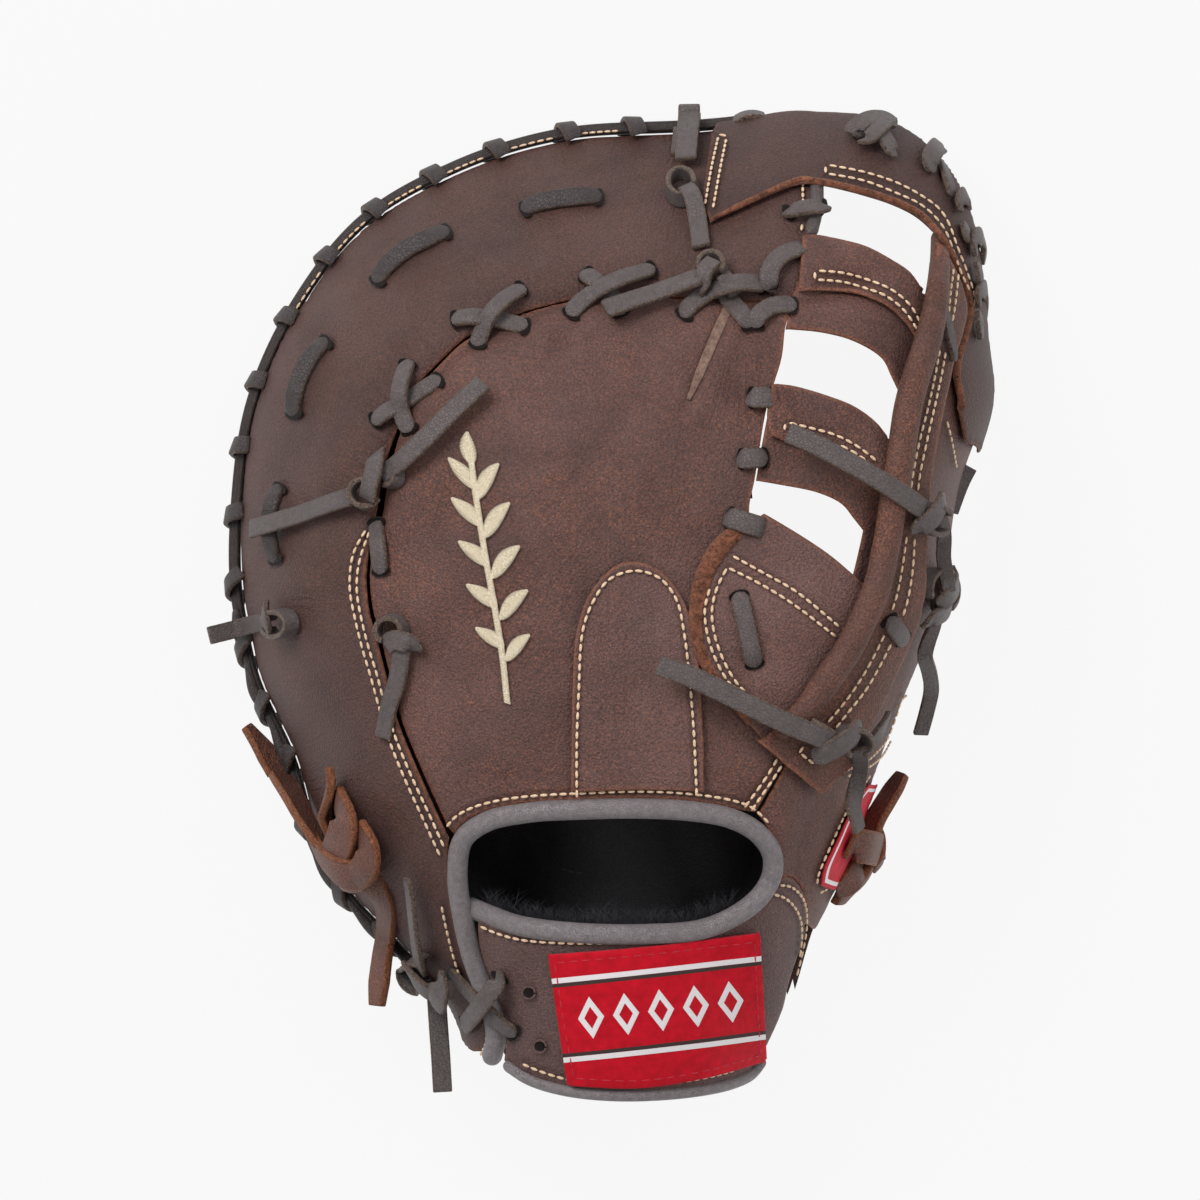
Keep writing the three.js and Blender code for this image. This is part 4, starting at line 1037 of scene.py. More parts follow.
POST_LINE = [
    (940, 238), (940, 264), (935, 305), (927, 340), (914, 380), (906, 410), (898, 462), (891, 504),
    (885, 542), (874, 590), (861, 620), (847, 648), (828, 676), (806, 706), (782, 728),
]

# Rows of stitches: the panel that they are on, how far its face stands off the back, and their line
STITCHES = [
    ("seam_low_a", LEATHER + 0.35, [(367, 530), (356, 550), (352, 565), (351, 590), (355, 613), (363, 646),
                             (373, 680), (380, 706), (389, 736), (405, 776), (425, 820), (441, 855)]),
    ("seam_low_b", LEATHER + 1.1, [(371, 531), (363, 553), (359, 570), (358, 590), (361, 611), (369, 644),
                             (379, 677), (386, 704), (396, 735), (412, 774), (431, 815), (445, 846)]),
    ("thumb_seam_a", LEATHER, [(743, 807), (757, 788), (766, 775), (777, 757)]),
    ("thumb_seam_b", LEATHER, [(750, 810), (763, 791), (772, 778), (781, 764)]),
    ("hole_top", LEATHER, [(447, 826), (457, 815), (474, 806), (500, 799), (528, 795), (580, 792), (640, 790),
                           (694, 793), (735, 800), (752, 807), (768, 822)]),
    ("hole_left", LEATHER, [(442, 905), (447, 930), (455, 962), (463, 985)]),
    ("heel_left", LEATHER, [(487, 1028), (486, 1043), (480, 1056)]),
    ("strap_top", LEATHER, [(480, 925), (497, 932), (520, 938), (560, 941), (614, 941)]),
    ("strap_right_a", LEATHER, [(779, 884), (790, 886), (799, 893), (805, 904), (807, 925), (804, 947),
                                (797, 977)]),
    ("strap_right_b", LEATHER, [(773, 893), (784, 897), (793, 905), (800, 918), (802, 936), (800, 958)]),
    ("strap_bottom", LEATHER, [(522, 1063), (545, 1072), (580, 1081), (620, 1084), (660, 1083), (700, 1078),
                               (735, 1070), (752, 1060)]),
    ("pad", FACED, [(577, 797), (577, 740), (579, 690), (583, 630), (594, 600), (610, 579),
                                   (636, 571), (660, 579), (676, 600), (683, 630), (689, 680), (693, 730),
                                   (696, 795)]),
    ("crescent_web", LEATHER, [(803, 180), (803, 204)]),
    ("crescent_web_low", LEATHER, [(802, 224), (801, 232)]),
    ("top_left_a", FACED, [(719, 134), (712, 165), (705, 204)]),
    ("top_left_b", FACED, [(727, 136), (721, 165), (713, 208)]),
    ("top_right_a", FACED, [(829, 164), (864, 171), (896, 181), (925, 196), (941, 208), (950, 222),
                                           (959, 247), (968, 270), (976, 296), (975, 305)]),
    ("top_right_b", FACED, [(828, 173), (864, 180), (896, 192), (922, 204), (937, 217), (947, 231),
                                           (955, 252), (963, 274), (971, 290)]),
    ("top_left_end", FACED, [(719, 131), (728, 133)]),
    ("top_right_end", FACED, [(826, 165), (826, 173)]),
    ("upper_facing_end", FACED, [(814, 273), (814, 281)]),
    ("lower_facing_end", FACED, [(784, 425), (783, 432)]),
    ("upper_facing_a", FACED, [(817, 272), (842, 274), (868, 281), (893, 292), (911, 308), (920, 324)]),
    ("upper_facing_b", FACED, [(816, 281), (842, 283), (864, 289), (885, 297), (903, 311), (917, 331)]),
    ("lower_facing_a", FACED, [(787, 424), (808, 429), (833, 436), (855, 447), (875, 462)]),
    ("lower_facing_b", FACED, [(838, 446), (855, 455), (873, 469)]),
    ("post_a", POST_TOP, [(954, 268), (950, 295), (948, 321)]),
    ("post_b", POST_TOP, [(959, 273), (956, 298), (952, 322)]),
    ("post_c", POST_TOP, [(939, 350), (933, 380), (926, 410), (918, 440), (911, 475), (909, 490)]),
    ("post_d", POST_TOP, [(945, 352), (939, 382), (932, 412), (925, 442), (918, 475), (916, 492)]),
    ("post_e", POST_TOP, [(905, 536), (900, 570), (895, 595), (890, 611)]),
    ("post_f", POST_TOP, [(913, 538), (911, 570), (906, 600), (901, 617)]),
    ("post_g", POST_TOP, [(883, 634), (870, 660), (857, 682), (842, 703), (826, 722)]),
    ("post_h", POST_TOP, [(890, 643), (877, 668), (864, 690), (848, 710), (834, 728)]),
    ("thumb_back_a", FACED, [(731, 556), (760, 572), (795, 592), (838, 627)]),
    ("thumb_back_b", FACED, [(727, 568), (757, 583), (790, 603), (835, 637)]),
    ("thumb_back_c", FACED, [(726, 568), (716, 588), (711, 611), (714, 636), (724, 663), (737, 684),
                                            (752, 699)]),
    ("thumb_back_d", FACED, [(709, 588), (704, 609), (706, 632), (713, 655), (725, 678), (738, 694)]),
    ("tab", POST_TOP, [(803, 745), (798, 750), (805, 757), (813, 763)]),
    ("thumb_edge_a", LEATHER, [(946, 421), (951, 440), (957, 468)]),
    ("thumb_shell_a", LEATHER, [(845, 770), (863, 764), (878, 752), (888, 740), (897, 718), (903, 700),
                                (908, 696)]),
    ("thumb_shell_b", LEATHER, [(847, 776), (868, 768), (884, 756), (893, 742)]),
]


# Panels of the back
def near_line(points, high, wide):
    """Raises or sinks a panel beside a line in pixels."""
    line = smooth_px(points, 3.0)

    def change(below):
        return high * np.exp(-((nearest(below, line)[1] / wide) ** 2))

    return change


def rows_named(*names):
    return [row[2] for row in STITCHES if row[0] in names]


CELL = 1.4
leather_sheet(
    "crescent_panel",
    [Rim(67, 253.6), [(469, 1054), (481, 1053)], HEEL_SIDE, SEAM_LOW_OUTER[::-1], SEAM_TOP_OUTER,
     CRESCENT_WEB_SIDE],
    0.0, LEATHER, CELL, [BROWN, SUEDE], ["outer_back"],
    rows_named("seam_low_a", "seam_low_b", "hole_left", "heel_left", "crescent_web", "crescent_web_low"),
    near_line(SEAM_LOW_OUTER, 0.7, 4.5),
)
leather_sheet(
    "hand_panel",
    [SEAM_TOP_HAND, SEAM_LOW_HAND, HOLE_TOP, THUMB_SEAM_HAND, WEB_SIDE],
    0.0, LEATHER, CELL, [HAND_BROWN, SUEDE], ["hand_back"],
    rows_named("thumb_seam_a", "thumb_seam_b", "hole_top"),
    near_line(SEAM_LOW_OUTER, -1.3, 2.6),
)
leather_sheet(
    "thumb_panel",
    [THUMB_SEAM_THUMB, HOLE_RIGHT, STRAP_TURN[::-1], Rim(303, 392),
     [(982, 357), (960, 352)], [(960, 352), (938, 368), (926, 420), (916, 480), (906, 540), (893, 592)]],
    0.0, LEATHER, CELL, [HAND_BROWN, SUEDE], ["thumb_shell"],
    rows_named("thumb_shell_a", "thumb_shell_b", "thumb_edge_a"),
    near_line(THUMB_SEAM_THUMB, -0.9, 2.2),
)
leather_sheet(
    "strap_panel",
    [STRAP_TOP, STRAP_LEFT, STRAP_BOTTOM, STRAP_RIGHT, STRAP_TURN],
    0.0, LEATHER, CELL, [STRAP_BROWN, SUEDE], ["wrist_strap"],
    rows_named("strap_top", "strap_right_a", "strap_right_b", "strap_bottom"),
)
leather_sheet(
    "index_pad", [FINGER_PAD_LINE, [(704, 791), (640, 789), (571, 791)]],
    LEATHER_TOP, FACING, CELL, [PAD_BROWN, SUEDE], ["finger_pad"], rows_named("pad"),
)
leather_sheet(
    "thumb_overlay",
    [[(763, 514), (795, 533), (830, 556), (862, 582)],
     [(862, 582), (884, 600), (882, 625), (866, 660), (836, 703), (806, 735), (783, 746), (762, 738)],
     [(762, 738), (742, 716), (724, 690), (706, 663), (698, 640), (696, 612), (701, 586), (714, 560),
      (724, 540)],
     [(724, 540), (742, 527), (752, 521), (763, 514)]],
    LEATHER_TOP, FACING, CELL, [PAD_BROWN, SUEDE], ["thumb_back"],
    rows_named("thumb_back_a", "thumb_back_b", "thumb_back_c", "thumb_back_d"),
)
leather_sheet(
    "web_top",
    [[(712, 126), (706, 165), (703, 200), (709, 219)],
     [(709, 219), (743, 203), (779, 187), (802, 180), (830, 182), (858, 190), (893, 201), (918, 213),
      (936, 228), (948, 243), (958, 263), (968, 288), (972, 308), (966, 335), (959, 358), (957, 375),
      (961, 392), (962, 408)],
     [(962, 408), (966, 428), (969, 443)], [(969, 443), (975, 446)], Rim(22.3, 76.5)],
    LEATHER_TOP, FACING, CELL, [WEB_BROWN, SUEDE], ["web_top_strap"],
    rows_named("top_left_a", "top_left_b", "top_right_a", "top_right_b"),
)
leather_sheet(
    "upper_bar",
    [[(804, 236), (818, 236), (842, 239), (867, 246), (893, 259), (911, 271), (926, 291)],
     [(926, 291), (938, 304), (932, 332), (922, 365), (913, 392), (905, 400)],
     [(905, 400), (893, 375), (884, 358), (856, 341), (824, 332), (785, 328)],
     [(785, 328), (789, 306), (797, 272), (804, 236)]],
    0.0, LEATHER, CELL, [HAND_BROWN, SUEDE], ["web_upper_bar"],
)
leather_sheet(
    "upper_facing",
    [[(802, 234), (818, 234), (842, 238), (868, 245), (893, 258), (912, 271), (926, 291)],
     [(926, 291), (932, 305), (925, 332), (920, 340)],
     [(920, 340), (906, 321), (886, 304), (856, 294), (828, 290), (798, 287)],
     [(798, 287), (800, 262), (802, 234)]],
    LEATHER_TOP, FACING, CELL, [HAND_BROWN, SUEDE], ["web_upper_facing"],
    rows_named("upper_facing_a", "upper_facing_b"),
)
leather_sheet(
    "lower_bar",
    [[(773, 385), (802, 391), (830, 397), (855, 407), (876, 422), (889, 438)],
     [(889, 438), (904, 450), (904, 480), (892, 515), (866, 533)],
     [(866, 533), (855, 520), (842, 505), (817, 493), (779, 485), (755, 481)],
     [(755, 481), (762, 440), (773, 385)]],
    0.0, LEATHER, CELL, [HAND_BROWN, SUEDE], ["web_lower_bar"],
)
leather_sheet(
    "lower_facing",
    [[(771, 384), (791, 386), (830, 397), (855, 407), (876, 422), (889, 438)],
     [(889, 438), (903, 452), (900, 474), (890, 478)],
     [(890, 478), (872, 470), (850, 461), (816, 449), (790, 444), (769, 436)],
     [(769, 436), (766, 415), (771, 384)]],
    LEATHER_TOP, FACING, CELL, [HAND_BROWN, SUEDE], ["web_lower_facing"],
    rows_named("lower_facing_a", "lower_facing_b"),
)
leather_sheet(
    "post_flange",
    [[(941, 238), (950, 252), (960, 270), (967, 288), (971, 308), (966, 334), (958, 357), (953, 379),
      (945, 414), (936, 460), (931, 500), (929, 540), (928, 584), (921, 622), (906, 661), (888, 700),
      (870, 735), (853, 768), (840, 779)],
     [(840, 779), (823, 794)], [(823, 794), (790, 767), (758, 741)],
     [(758, 741), (776, 728), (808, 702), (834, 672), (855, 645), (869, 618), (881, 590), (889, 542),
      (895, 504), (903, 462), (911, 410), (920, 380), (929, 340), (935, 305), (938, 262), (941, 238)]],
    FACING_TOP, FACING, CELL, [POST_BROWN, SUEDE], ["web_post"],
    rows_named("post_c", "post_d", "post_e", "post_f", "post_g", "post_h", "tab"),
)
leather_sheet(
    "post_under", [[(867, 520), (892, 520)], [(892, 520), (880, 594)], [(880, 594), (850, 590)],
                   [(850, 590), (860, 552), (867, 520)]],
    0.0, LEATHER, CELL, [WEB_BROWN, SUEDE], ["web_post"],
)
shape = start()
post = smooth_px(POST_LINE, 2.0)
sunk = np.interp(np.linspace(0, 1, len(post)), [0, 0.04, 0.1], [-7.5, -5.0, 0.0])
space, up, _ = above(post, FACING_TOP + POST_ROLL * 0.75 + sunk)
grow = np.interp(np.linspace(0, 1, len(post)), [0, 0.06, 0.2, 0.9, 1], [0.62, 0.8, 1.0, 1.0, 0.72])
tube(shape, space, POST_ROLL * 0.98 * grow, 20, ups=up, flat=0.86)
finish_piece("post_roll", shape, [POST_BROWN], ["web_post"])
shape = start()
edge_line = smooth_px([(748, 722), (731, 700), (713, 676), (701, 654), (695, 632), (696, 608), (700, 586),
                       (710, 562), (722, 545), (735, 533)], 1.2)
space, up, _ = above(edge_line, LEATHER_TOP + 1.2)
wide = np.interp(np.linspace(0, 1, len(edge_line)), [0, 0.12, 0.5, 0.88, 1], [0.9, 1.5, 2.3, 3.3, 2.6])
tube(shape, space, wide, 14, ups=up, flat=0.56)
finish_piece("thumb_edge", shape, [SUEDE], ["thumb_back"])


# Palm and lining
def disc_places(cells):
    """Shares and directions of a square net that is drawn out to a disc."""
    side = np.linspace(-1, 1, cells + 1)
    x, y = np.meshgrid(side, side)
    share = np.maximum(np.abs(x), np.abs(y))
    return share, np.arctan2(y, x)


def palm_low(share, angle):
    reach, lift, sole = (edge_column(angle, column) for column in (0, 1, 4))
    top = lift - LAYER_GAP - LEATHER
    flat_end = sole + SOLE_BAND
    pocket = POCKET_DEPTH * (1 - np.power(np.minimum(share / sole, 1), 2.2))
    rise = top * np.clip((share - flat_end) / (1 - flat_end), 0, 1)
    out = reach * share
    return np.stack([out * np.cos(angle), out * np.sin(angle), pocket + rise], -1)


def palm_inside(share, angle):
    point = palm_low(share, angle)
    sole = edge_column(angle, 4)
    heel = smooth_step(-point[..., 1], 57.6, 115.2)
    pad = PALM_PAD + (HEEL_PAD - PALM_PAD) * heel
    thin = smooth_step(share, sole * 0.7, 1.0)
    point[..., 2] += pad + (LEATHER - pad) * thin
    return point


def in_web(points):
    """Places in the opening of the web, or past the cut at the heel."""
    web = np.array([plan(*p) for p in [
        (813, 40), (813, 186), (805, 235), (790, 292), (780, 357), (766, 400), (755, 460), (747, 512),
        (755, 545), (800, 572), (850, 592), (893, 592), (906, 540), (916, 480), (926, 420), (938, 368),
        (960, 350), (1040, 345), (1080, 100), (900, 0)]])
    heel = np.array([plan(*p) for p in [
        (300, 960), (400, 975), (450, 1020), (520, 1056), (600, 1066), (680, 1062), (745, 1040), (790, 990),
        (830, 970), (950, 970), (950, 1400), (250, 1400)]])
    return inside(points, web) | inside(points, heel)


shape = start()
share, angle = disc_places(120)
share = np.minimum(share, 1.0)
low_rows, high_rows = palm_low(share, angle), palm_inside(share, angle)
under = net(shape, low_rows)
net(shape, high_rows)
bmesh.ops.reverse_faces(shape, faces=list({face for vert in under for face in vert.link_faces}))
middles = np.array([face.calc_center_median()[:2] for face in shape.faces])
faces = [face for face, gone in zip(shape.faces, in_web(middles)) if gone]
bmesh.ops.delete(shape, geom=faces, context="FACES")
bmesh.ops.bridge_loops(shape, edges=[edge for edge in shape.edges if edge.is_boundary])
finish_piece("palm", shape, [BROWN], ["palm_shell"])

shape = start()
lining_line = smooth_px([(455, 860), (480, 760), (560, 700), (680, 700), (770, 760), (800, 860), (770, 970),
                         (680, 1020), (560, 1020), (480, 960)], 3.0, True)
cells = 44
side = np.linspace(0, 1, cells + 1)
low, high = lining_line.min(0), lining_line.max(0)
x, y = np.meshgrid(low[0] + side * (high[0] - low[0]), low[1] + side * (high[1] - low[1]))
angle = np.arctan2(y, x)
share = np.hypot(x, y) / edge_column(angle, 0)
rows = palm_inside(share, angle)
rows[..., 2] += LAYER_GAP
net(shape, rows)
middles = np.array([face.calc_center_median()[:2] for face in shape.faces])
outside = [face for face, held in zip(shape.faces, inside(middles, lining_line)) if not held]
bmesh.ops.delete(shape, geom=outside, context="FACES")
finish_piece("lining", shape, [LINING_SKIN, LINING_SKIN], ["palm_lining"], LINING, 1)


# Bindings
def binding(name, points, radius, height, nodes, sides=14, skins=None, tuck=0.0):
    """A roll of hide over a cut edge. Its last part can be tucked down under what crosses it."""
    shape = start()
    line = smooth_px(points, 1.6)
    low = np.interp(np.linspace(0, 1, len(line)), [0, 0.93, 0.98, 1], [0, 0, -tuck, -tuck])
    space, up, _ = above(line, height + low)
    tube(shape, space, radius, sides, ups=up)
    finish_piece(name, shape, skins or [BINDING], nodes)


binding("hole_binding", WRIST_ROLL_LINE, WRIST_ROLL, LEATHER / 2 + 0.3, ["wrist_roll"], 20, tuck=3.4)
binding("strap_binding", STRAP_ROLL_LINE, STRAP_ROLL, LEATHER / 2, ["strap_roll"], 14)
binding("web_binding", [(817, 184), (816, 210), (811, 231)], WEB_ROLL * 1.15, LEATHER / 2, ["web_roll"], 12,
        skins=[LACE_GREY])
shape = start()
band = smooth_px([
    (712, 219), (745, 203), (780, 187), (802, 179), (817, 181), (830, 183), (855, 189), (881, 196),
    (905, 205), (921, 214), (935, 228), (946, 243), (958, 264), (968, 288), (972, 309), (966, 335),
    (959, 358), (957, 377), (960, 395), (962, 407),
], 1.2)
over_post = 2.6 * np.exp(-((np.linspace(0, 1, len(band)) - 0.57) / 0.05) ** 2)
space, up, _ = above(band, LEATHER_TOP + 1.1 + over_post)
wide = np.interp(np.linspace(0, 1, len(band)), [0, 0.06, 0.3, 1], [0.5, 1.0, 1.3, 1.25])
tube(shape, space, wide, 10, ups=up)
finish_piece("web_top_raw_edge", shape, [SUEDE], ["web_top_strap"])


def rim_point(angle, out, up):
    """A place beside the mitt's edge: out past the back's inside edge, and up from the edge's height."""
    angle = np.atleast_1d(angle)
    reach = edge_column(angle, 0) + out
    return np.stack([reach * np.cos(angle), reach * np.sin(angle), edge_column(angle, 1) + up], -1)


RIM_LACE_AT = [86, 94, 103, 111.5, 120, 128.6, 138, 147.6, 157, 167, 177.6, 188, 198, 208, 217, 229, 238]
shape = start()
turn = np.radians(np.linspace(74, 247, 260))
tube(shape, rim_point(turn, 3.0, -0.6), 1.7, 10)
tube(shape, rim_point(turn, 4.3, -0.9), 1.0, 10)
tube(shape, rim_point(turn, 2.6, 1.0), 0.8, 8)
finish_piece("rim_welt", shape, [WELT], ["rim_lacing"])
shape = start()
turn = np.radians(np.linspace(182, 247, 110))
swell = 1.5 + 0.35 * np.sin(np.degrees(turn) * 0.62)
tube(shape, rim_point(turn, 4.3 + 0.4 * np.sin(np.degrees(turn) * 0.62), 1.2), swell, 12, flat=0.85)
for degrees in RIM_LACE_AT:
    middle = math.radians(degrees)
    side_on = float(smooth_step(degrees, 160, 186))
    lean = 0.011 + 0.024 * side_on
    loop = []
    for out, up, slide in ((1.0, 5.4, -1.3), (2.4, 5.4, -1.0), (4.4, 4.0, -0.5), (5.8, 1.6, 0),
                           (6.2, -1.2, 0.4), (5.2, -4.0, 0.8), (3.0, -5.4, 1.1), (0.4, -5.2, 1.3)):
        loop.append(rim_point(middle + slide * lean, out, up)[0])
    loop = along(loop, 1.0)
    heart = rim_point(middle, 1.0, 0.5)[0]
    thong(shape, loop, loop - heart, LACE_WIDTH * (1.08 - 0.1 * side_on), LACE_THICK)
finish_piece("rim_lace", shape, [DARK_LACE], ["rim_lacing"])


# Laces
def strip_run(points, base=LEATHER, spacing=1.3, free=False):
    """A smooth run of places and ups from pixels, with a height off the leather or, free, off its mean."""
    spots = np.array([(*plan(px, py), high) for px, py, high in points])
    line = even(along(spots, spacing), spacing)
    if not free:
        space, up, _ = above(line[:, :2], base + line[:, 2])
        return space, up
    ground = above(line[:, :2], np.zeros(len(line)))[0][:, 2]
    padded = np.pad(ground, 4, mode="edge")
    ground = np.array([padded[index:index + 9].mean() for index in range(len(line))])
    space = np.column_stack([line[:, :2], ground + base + line[:, 2]])
    return space, np.tile([0.0, 0.0, 1.0], (len(line), 1))


def leaned(line, ups, lean):
    """The normals turned about the line, by degrees given at even steps along it."""
    _, up, side = frames(line, ups)
    turn = np.radians(np.interp(np.linspace(0, 1, len(line)), np.linspace(0, 1, len(lean)), lean))[:, None]
    return up * np.cos(turn) + side * np.sin(turn)


def nosed(line, width):
    """How wide a strip is along its line when both its ends are round."""
    run = np.concatenate([[0], np.cumsum(np.linalg.norm(np.diff(line, axis=0), axis=1))])
    from_end = np.minimum(run, run[-1] - run) / (width * 0.5)
    return np.sqrt(np.clip(1 - (1 - np.minimum(from_end, 1)) ** 2, 0.1, 1))


def strip(shape, points, width=6.2, thick=LACE_THICK, base=LEATHER, lean=None, ends=None, curl=0.0,
          free=False, nose=False):
    """A lace through places on the leather; lean turns it on edge and ends narrow it, step by step."""
    line, up = strip_run(points, base, 0.7 if nose else 1.3, free)
    if lean is not None:
        up = leaned(line, up, lean)
    taper = nosed(line, width) if nose else None
    if ends is not None:
        taper = np.interp(np.linspace(0, 1, len(line)), np.linspace(0, 1, len(ends)), ends)
    thong(shape, line, up, width, thick, taper, curl)


def hole_shade(shape, px, py, toward, base=LEATHER, wide=4.6):
    """A dark flat patch of painted shade where a lace goes down through its slit, which shows round the
    lace's end.
    """
    here = np.array(plan(px, py))
    ahead = np.array(plan(*toward)) - here
    ahead /= np.linalg.norm(ahead)
    across = np.array([-ahead[1], ahead[0]])
    middle = here + ahead * 0.9
    half = across * wide * 0.42
    space, up, _ = above(np.array([middle - half, middle + half]), base + 0.02)
    sew(shape, [(space[0], space[1], up[0], 3.9, 0.07)], 1)


# Each short lace: its width, the height of what it lies on, or 0 for the leather, and its places in
# pixels with a height over that in millimetres
SHORT_LACES = [
    ("lace_finger_a", 6.0, 0, [
        (522, 209, 0.7), (540, 201, 1.2), (561, 197, 1.3), (583, 195, 1.2), (601, 196, 0.6)]),
    ("lace_finger_b", 6.0, 0, [
        (375, 282, 0.7), (386, 265, 1.2), (406, 248, 1.3), (428, 237, 1.2), (448, 229, 0.6)]),
    ("lace_finger_c", 6.0, 0, [
        (293, 416, 0.7), (294, 395, 1.2), (301, 373, 1.3), (312, 354, 1.2), (327, 339, 0.6)]),
    ("lace_finger_d", 5.2, 0, [
        (275, 562, 0.7), (270, 543, 1.2), (268, 520, 1.3), (272, 501, 1.2), (280, 485, 0.6)]),
    ("lace_cross_a_under", 6, 0, [
        (453, 321, 0.5), (465, 318, 1.0), (490, 319, 0.9), (515, 325, 1.0), (528, 328, 0.5)]),
    ("lace_cross_a_over", 5.8, 0, [
        (477, 348, 0.6), (481, 336, 2.0), (490, 316, 3.1), (505, 300, 2.4), (524, 288, 0.6)]),
    ("lace_cross_b_under", 5.8, 0, [
        (374, 423, 0.5), (385, 414, 1.0), (408, 401, 0.9), (429, 387, 1.0), (441, 379, 0.5)]),
    ("lace_cross_b_over", 5.8, 0, [
        (412, 433, 0.6), (404, 418, 2.2), (400, 398, 3.1), (403, 379, 2.4), (409, 362, 0.6)]),
    ("lace_cross_c_under", 6, 0, [
        (583, 273, 0.4), (592, 279, 1.1), (605, 290, 0.9), (616, 305, 1.2), (623, 316, 0.5)]),
    ("lace_cross_c_over", 6, 0, [
        (569, 317, 0.6), (578, 306, 1.6), (597, 291, 3.0), (622, 279, 2.6), (654, 269, 0.6)]),
    ("lace_cross_d_under", 6, 0, [
        (722, 290, 0.4), (729, 301, 1.0), (739, 313, 1.1), (751, 328, 0.5)]),
    ("lace_cross_d_over", 6.4, 0, [
        (682, 318, 0.6), (691, 306, 1.8), (712, 292, 3.2), (740, 284, 3.0), (765, 286, 1.2)]),
    ("lace_seam", 5.6, 0, [
        (377, 520, 0.3), (378, 533, 1.6), (380, 555, 1.7), (382, 574, 0.5)]),
    ("lace_thumb_slot", 5.8, FACED, [
        (737, 593, 0.4), (740, 603, 1.3), (746, 630, 1.4), (751, 654, 1.3), (754, 666, 0.4)]),
    ("lace_post", 6.2, POST_TOP, [
        (886, 618, 0.9), (893, 627, 1.1), (904, 642, 0.9)]),
    ("lace_strap_under", 5.6, 2.4, [
        (451, 971, 0.3), (462, 985, 1.6), (482, 1004, 3.2), (500, 1022, 2.2), (516, 1034, 0.6)]),
    ("lace_strap_over", 6.2, 2.4, [
        (501, 974, 0.6), (497, 982, 4.2), (484, 1000, 6.2), (473, 1015, 4.6), (464, 1027, 2.2)]),
    ("lace_upper_bar", 6, 0, [
        (753, 329, 0.4), (757, 318, 1.6), (768, 309, 2.0), (780, 306, 1.8), (795, 307, 0.9)]),
    ("lace_lower_bar_a", 6.8, 0, [
        (748, 399, 0.3), (752, 399, 1.6), (762, 399, 2.0), (774, 399, 1.0)]),
    ("lace_lower_bar_b", 6.6, 0, [
        (738, 460, 0.3), (742, 460, 1.6), (753, 459, 2.0), (765, 459, 1.0)]),
    ("lace_thumb_back", 6.8, 0, [
        (726, 517, 0.3), (731, 519, 2.4), (744, 523, 3.6), (757, 527, 2.8), (764, 529, 1.6)]),
    ("lace_web_roll", 6.0, 0, [
        (786, 214, 0.4), (792, 211, 2.2), (806, 208, 3.6), (820, 207, 3.0), (824, 208, 0.2)]),
]
SIDE_SHOWN = ("lace_finger_a", "lace_finger_b", "lace_finger_c", "lace_finger_d")
for name, width, base, points in SHORT_LACES:
    shape = start()
    base = base or LEATHER
    first, last = points[0], points[-1]
    path = [(*first[:2], -0.5)] + points[1:-1] + [(*last[:2], -0.5)]
    turned = name in SIDE_SHOWN
    strip(shape, path, width, 2.4 if turned else LACE_THICK, base, [18, 34, 40, 34, 18] if turned else None,
          curl=0.25, nose=True)
    hole_shade(shape, first[0], first[1], points[1][:2], base, width)
    hole_shade(shape, last[0], last[1], points[-2][:2], base, width)
    finish_piece(name + "_hide", shape, [DARK_LACE if turned else LACE_GREY, HOLE_SHADE], [name])

# A second lace ties the top of the upper bar to the crescent
shape = start()
strip(shape, [(769, 293, -1.4), (768, 288, 0.8), (770, 270, 1.8), (782, 256, 2.2), (797, 250, 1.4),
              (803, 249, 0.2)], 6.2, ends=[0.7, 1, 1, 1, 0.9], curl=0.25)
hole_shade(shape, 768, 289, (770, 270), wide=5.6)
finish_piece("lace_upper_bar_top", shape, [LACE_GREY, HOLE_SHADE], ["lace_upper_bar"])
shape = start()
strip(shape, [(944, 308, 0.2), (946, 318, 1.2), (949, 335, 1.3), (953, 352, 1.1), (953, 362, 0.2)], 4.0,
      base=POST_TOP, ends=[0.4, 0.9, 1, 0.9, 0.4])
finish_piece("lace_post_top", shape, [LACE_GREY])


# Knots
def ring(shape, px, py, radius, high, start_at=20, sweep=320, width=5.6, thick=LACE_THICK, base=LEATHER,
         squeeze=1.0):
    """A lace that stands on edge and turns round a place on the leather."""
    count = max(10, int(sweep / 14))
    turns = np.radians(start_at + np.linspace(0, sweep, count))
    middle = np.array(plan(px, py))
    spots = middle + radius * np.stack([np.cos(turns), np.sin(turns) * squeeze], -1)
    space = above(spots, base + high)[0]
    heart = above(middle[None], base + high)[0]
    thong(shape, space, space - heart[0], width, thick)


def knot_piece(name, rings, strips, nodes, skins=None, thick=LACE_THICK):
    """A knot of laces: its rings, then the strips that wrap it and its free tails."""
    shape = start()
    for settings in rings:
        ring(shape, **{"thick": thick, **settings})
    for settings in strips:
        strip(shape, **{"thick": thick, **settings})
    finish_piece(name + "_hide", shape, skins or [LACE_GREY, HOLE_SHADE], nodes)


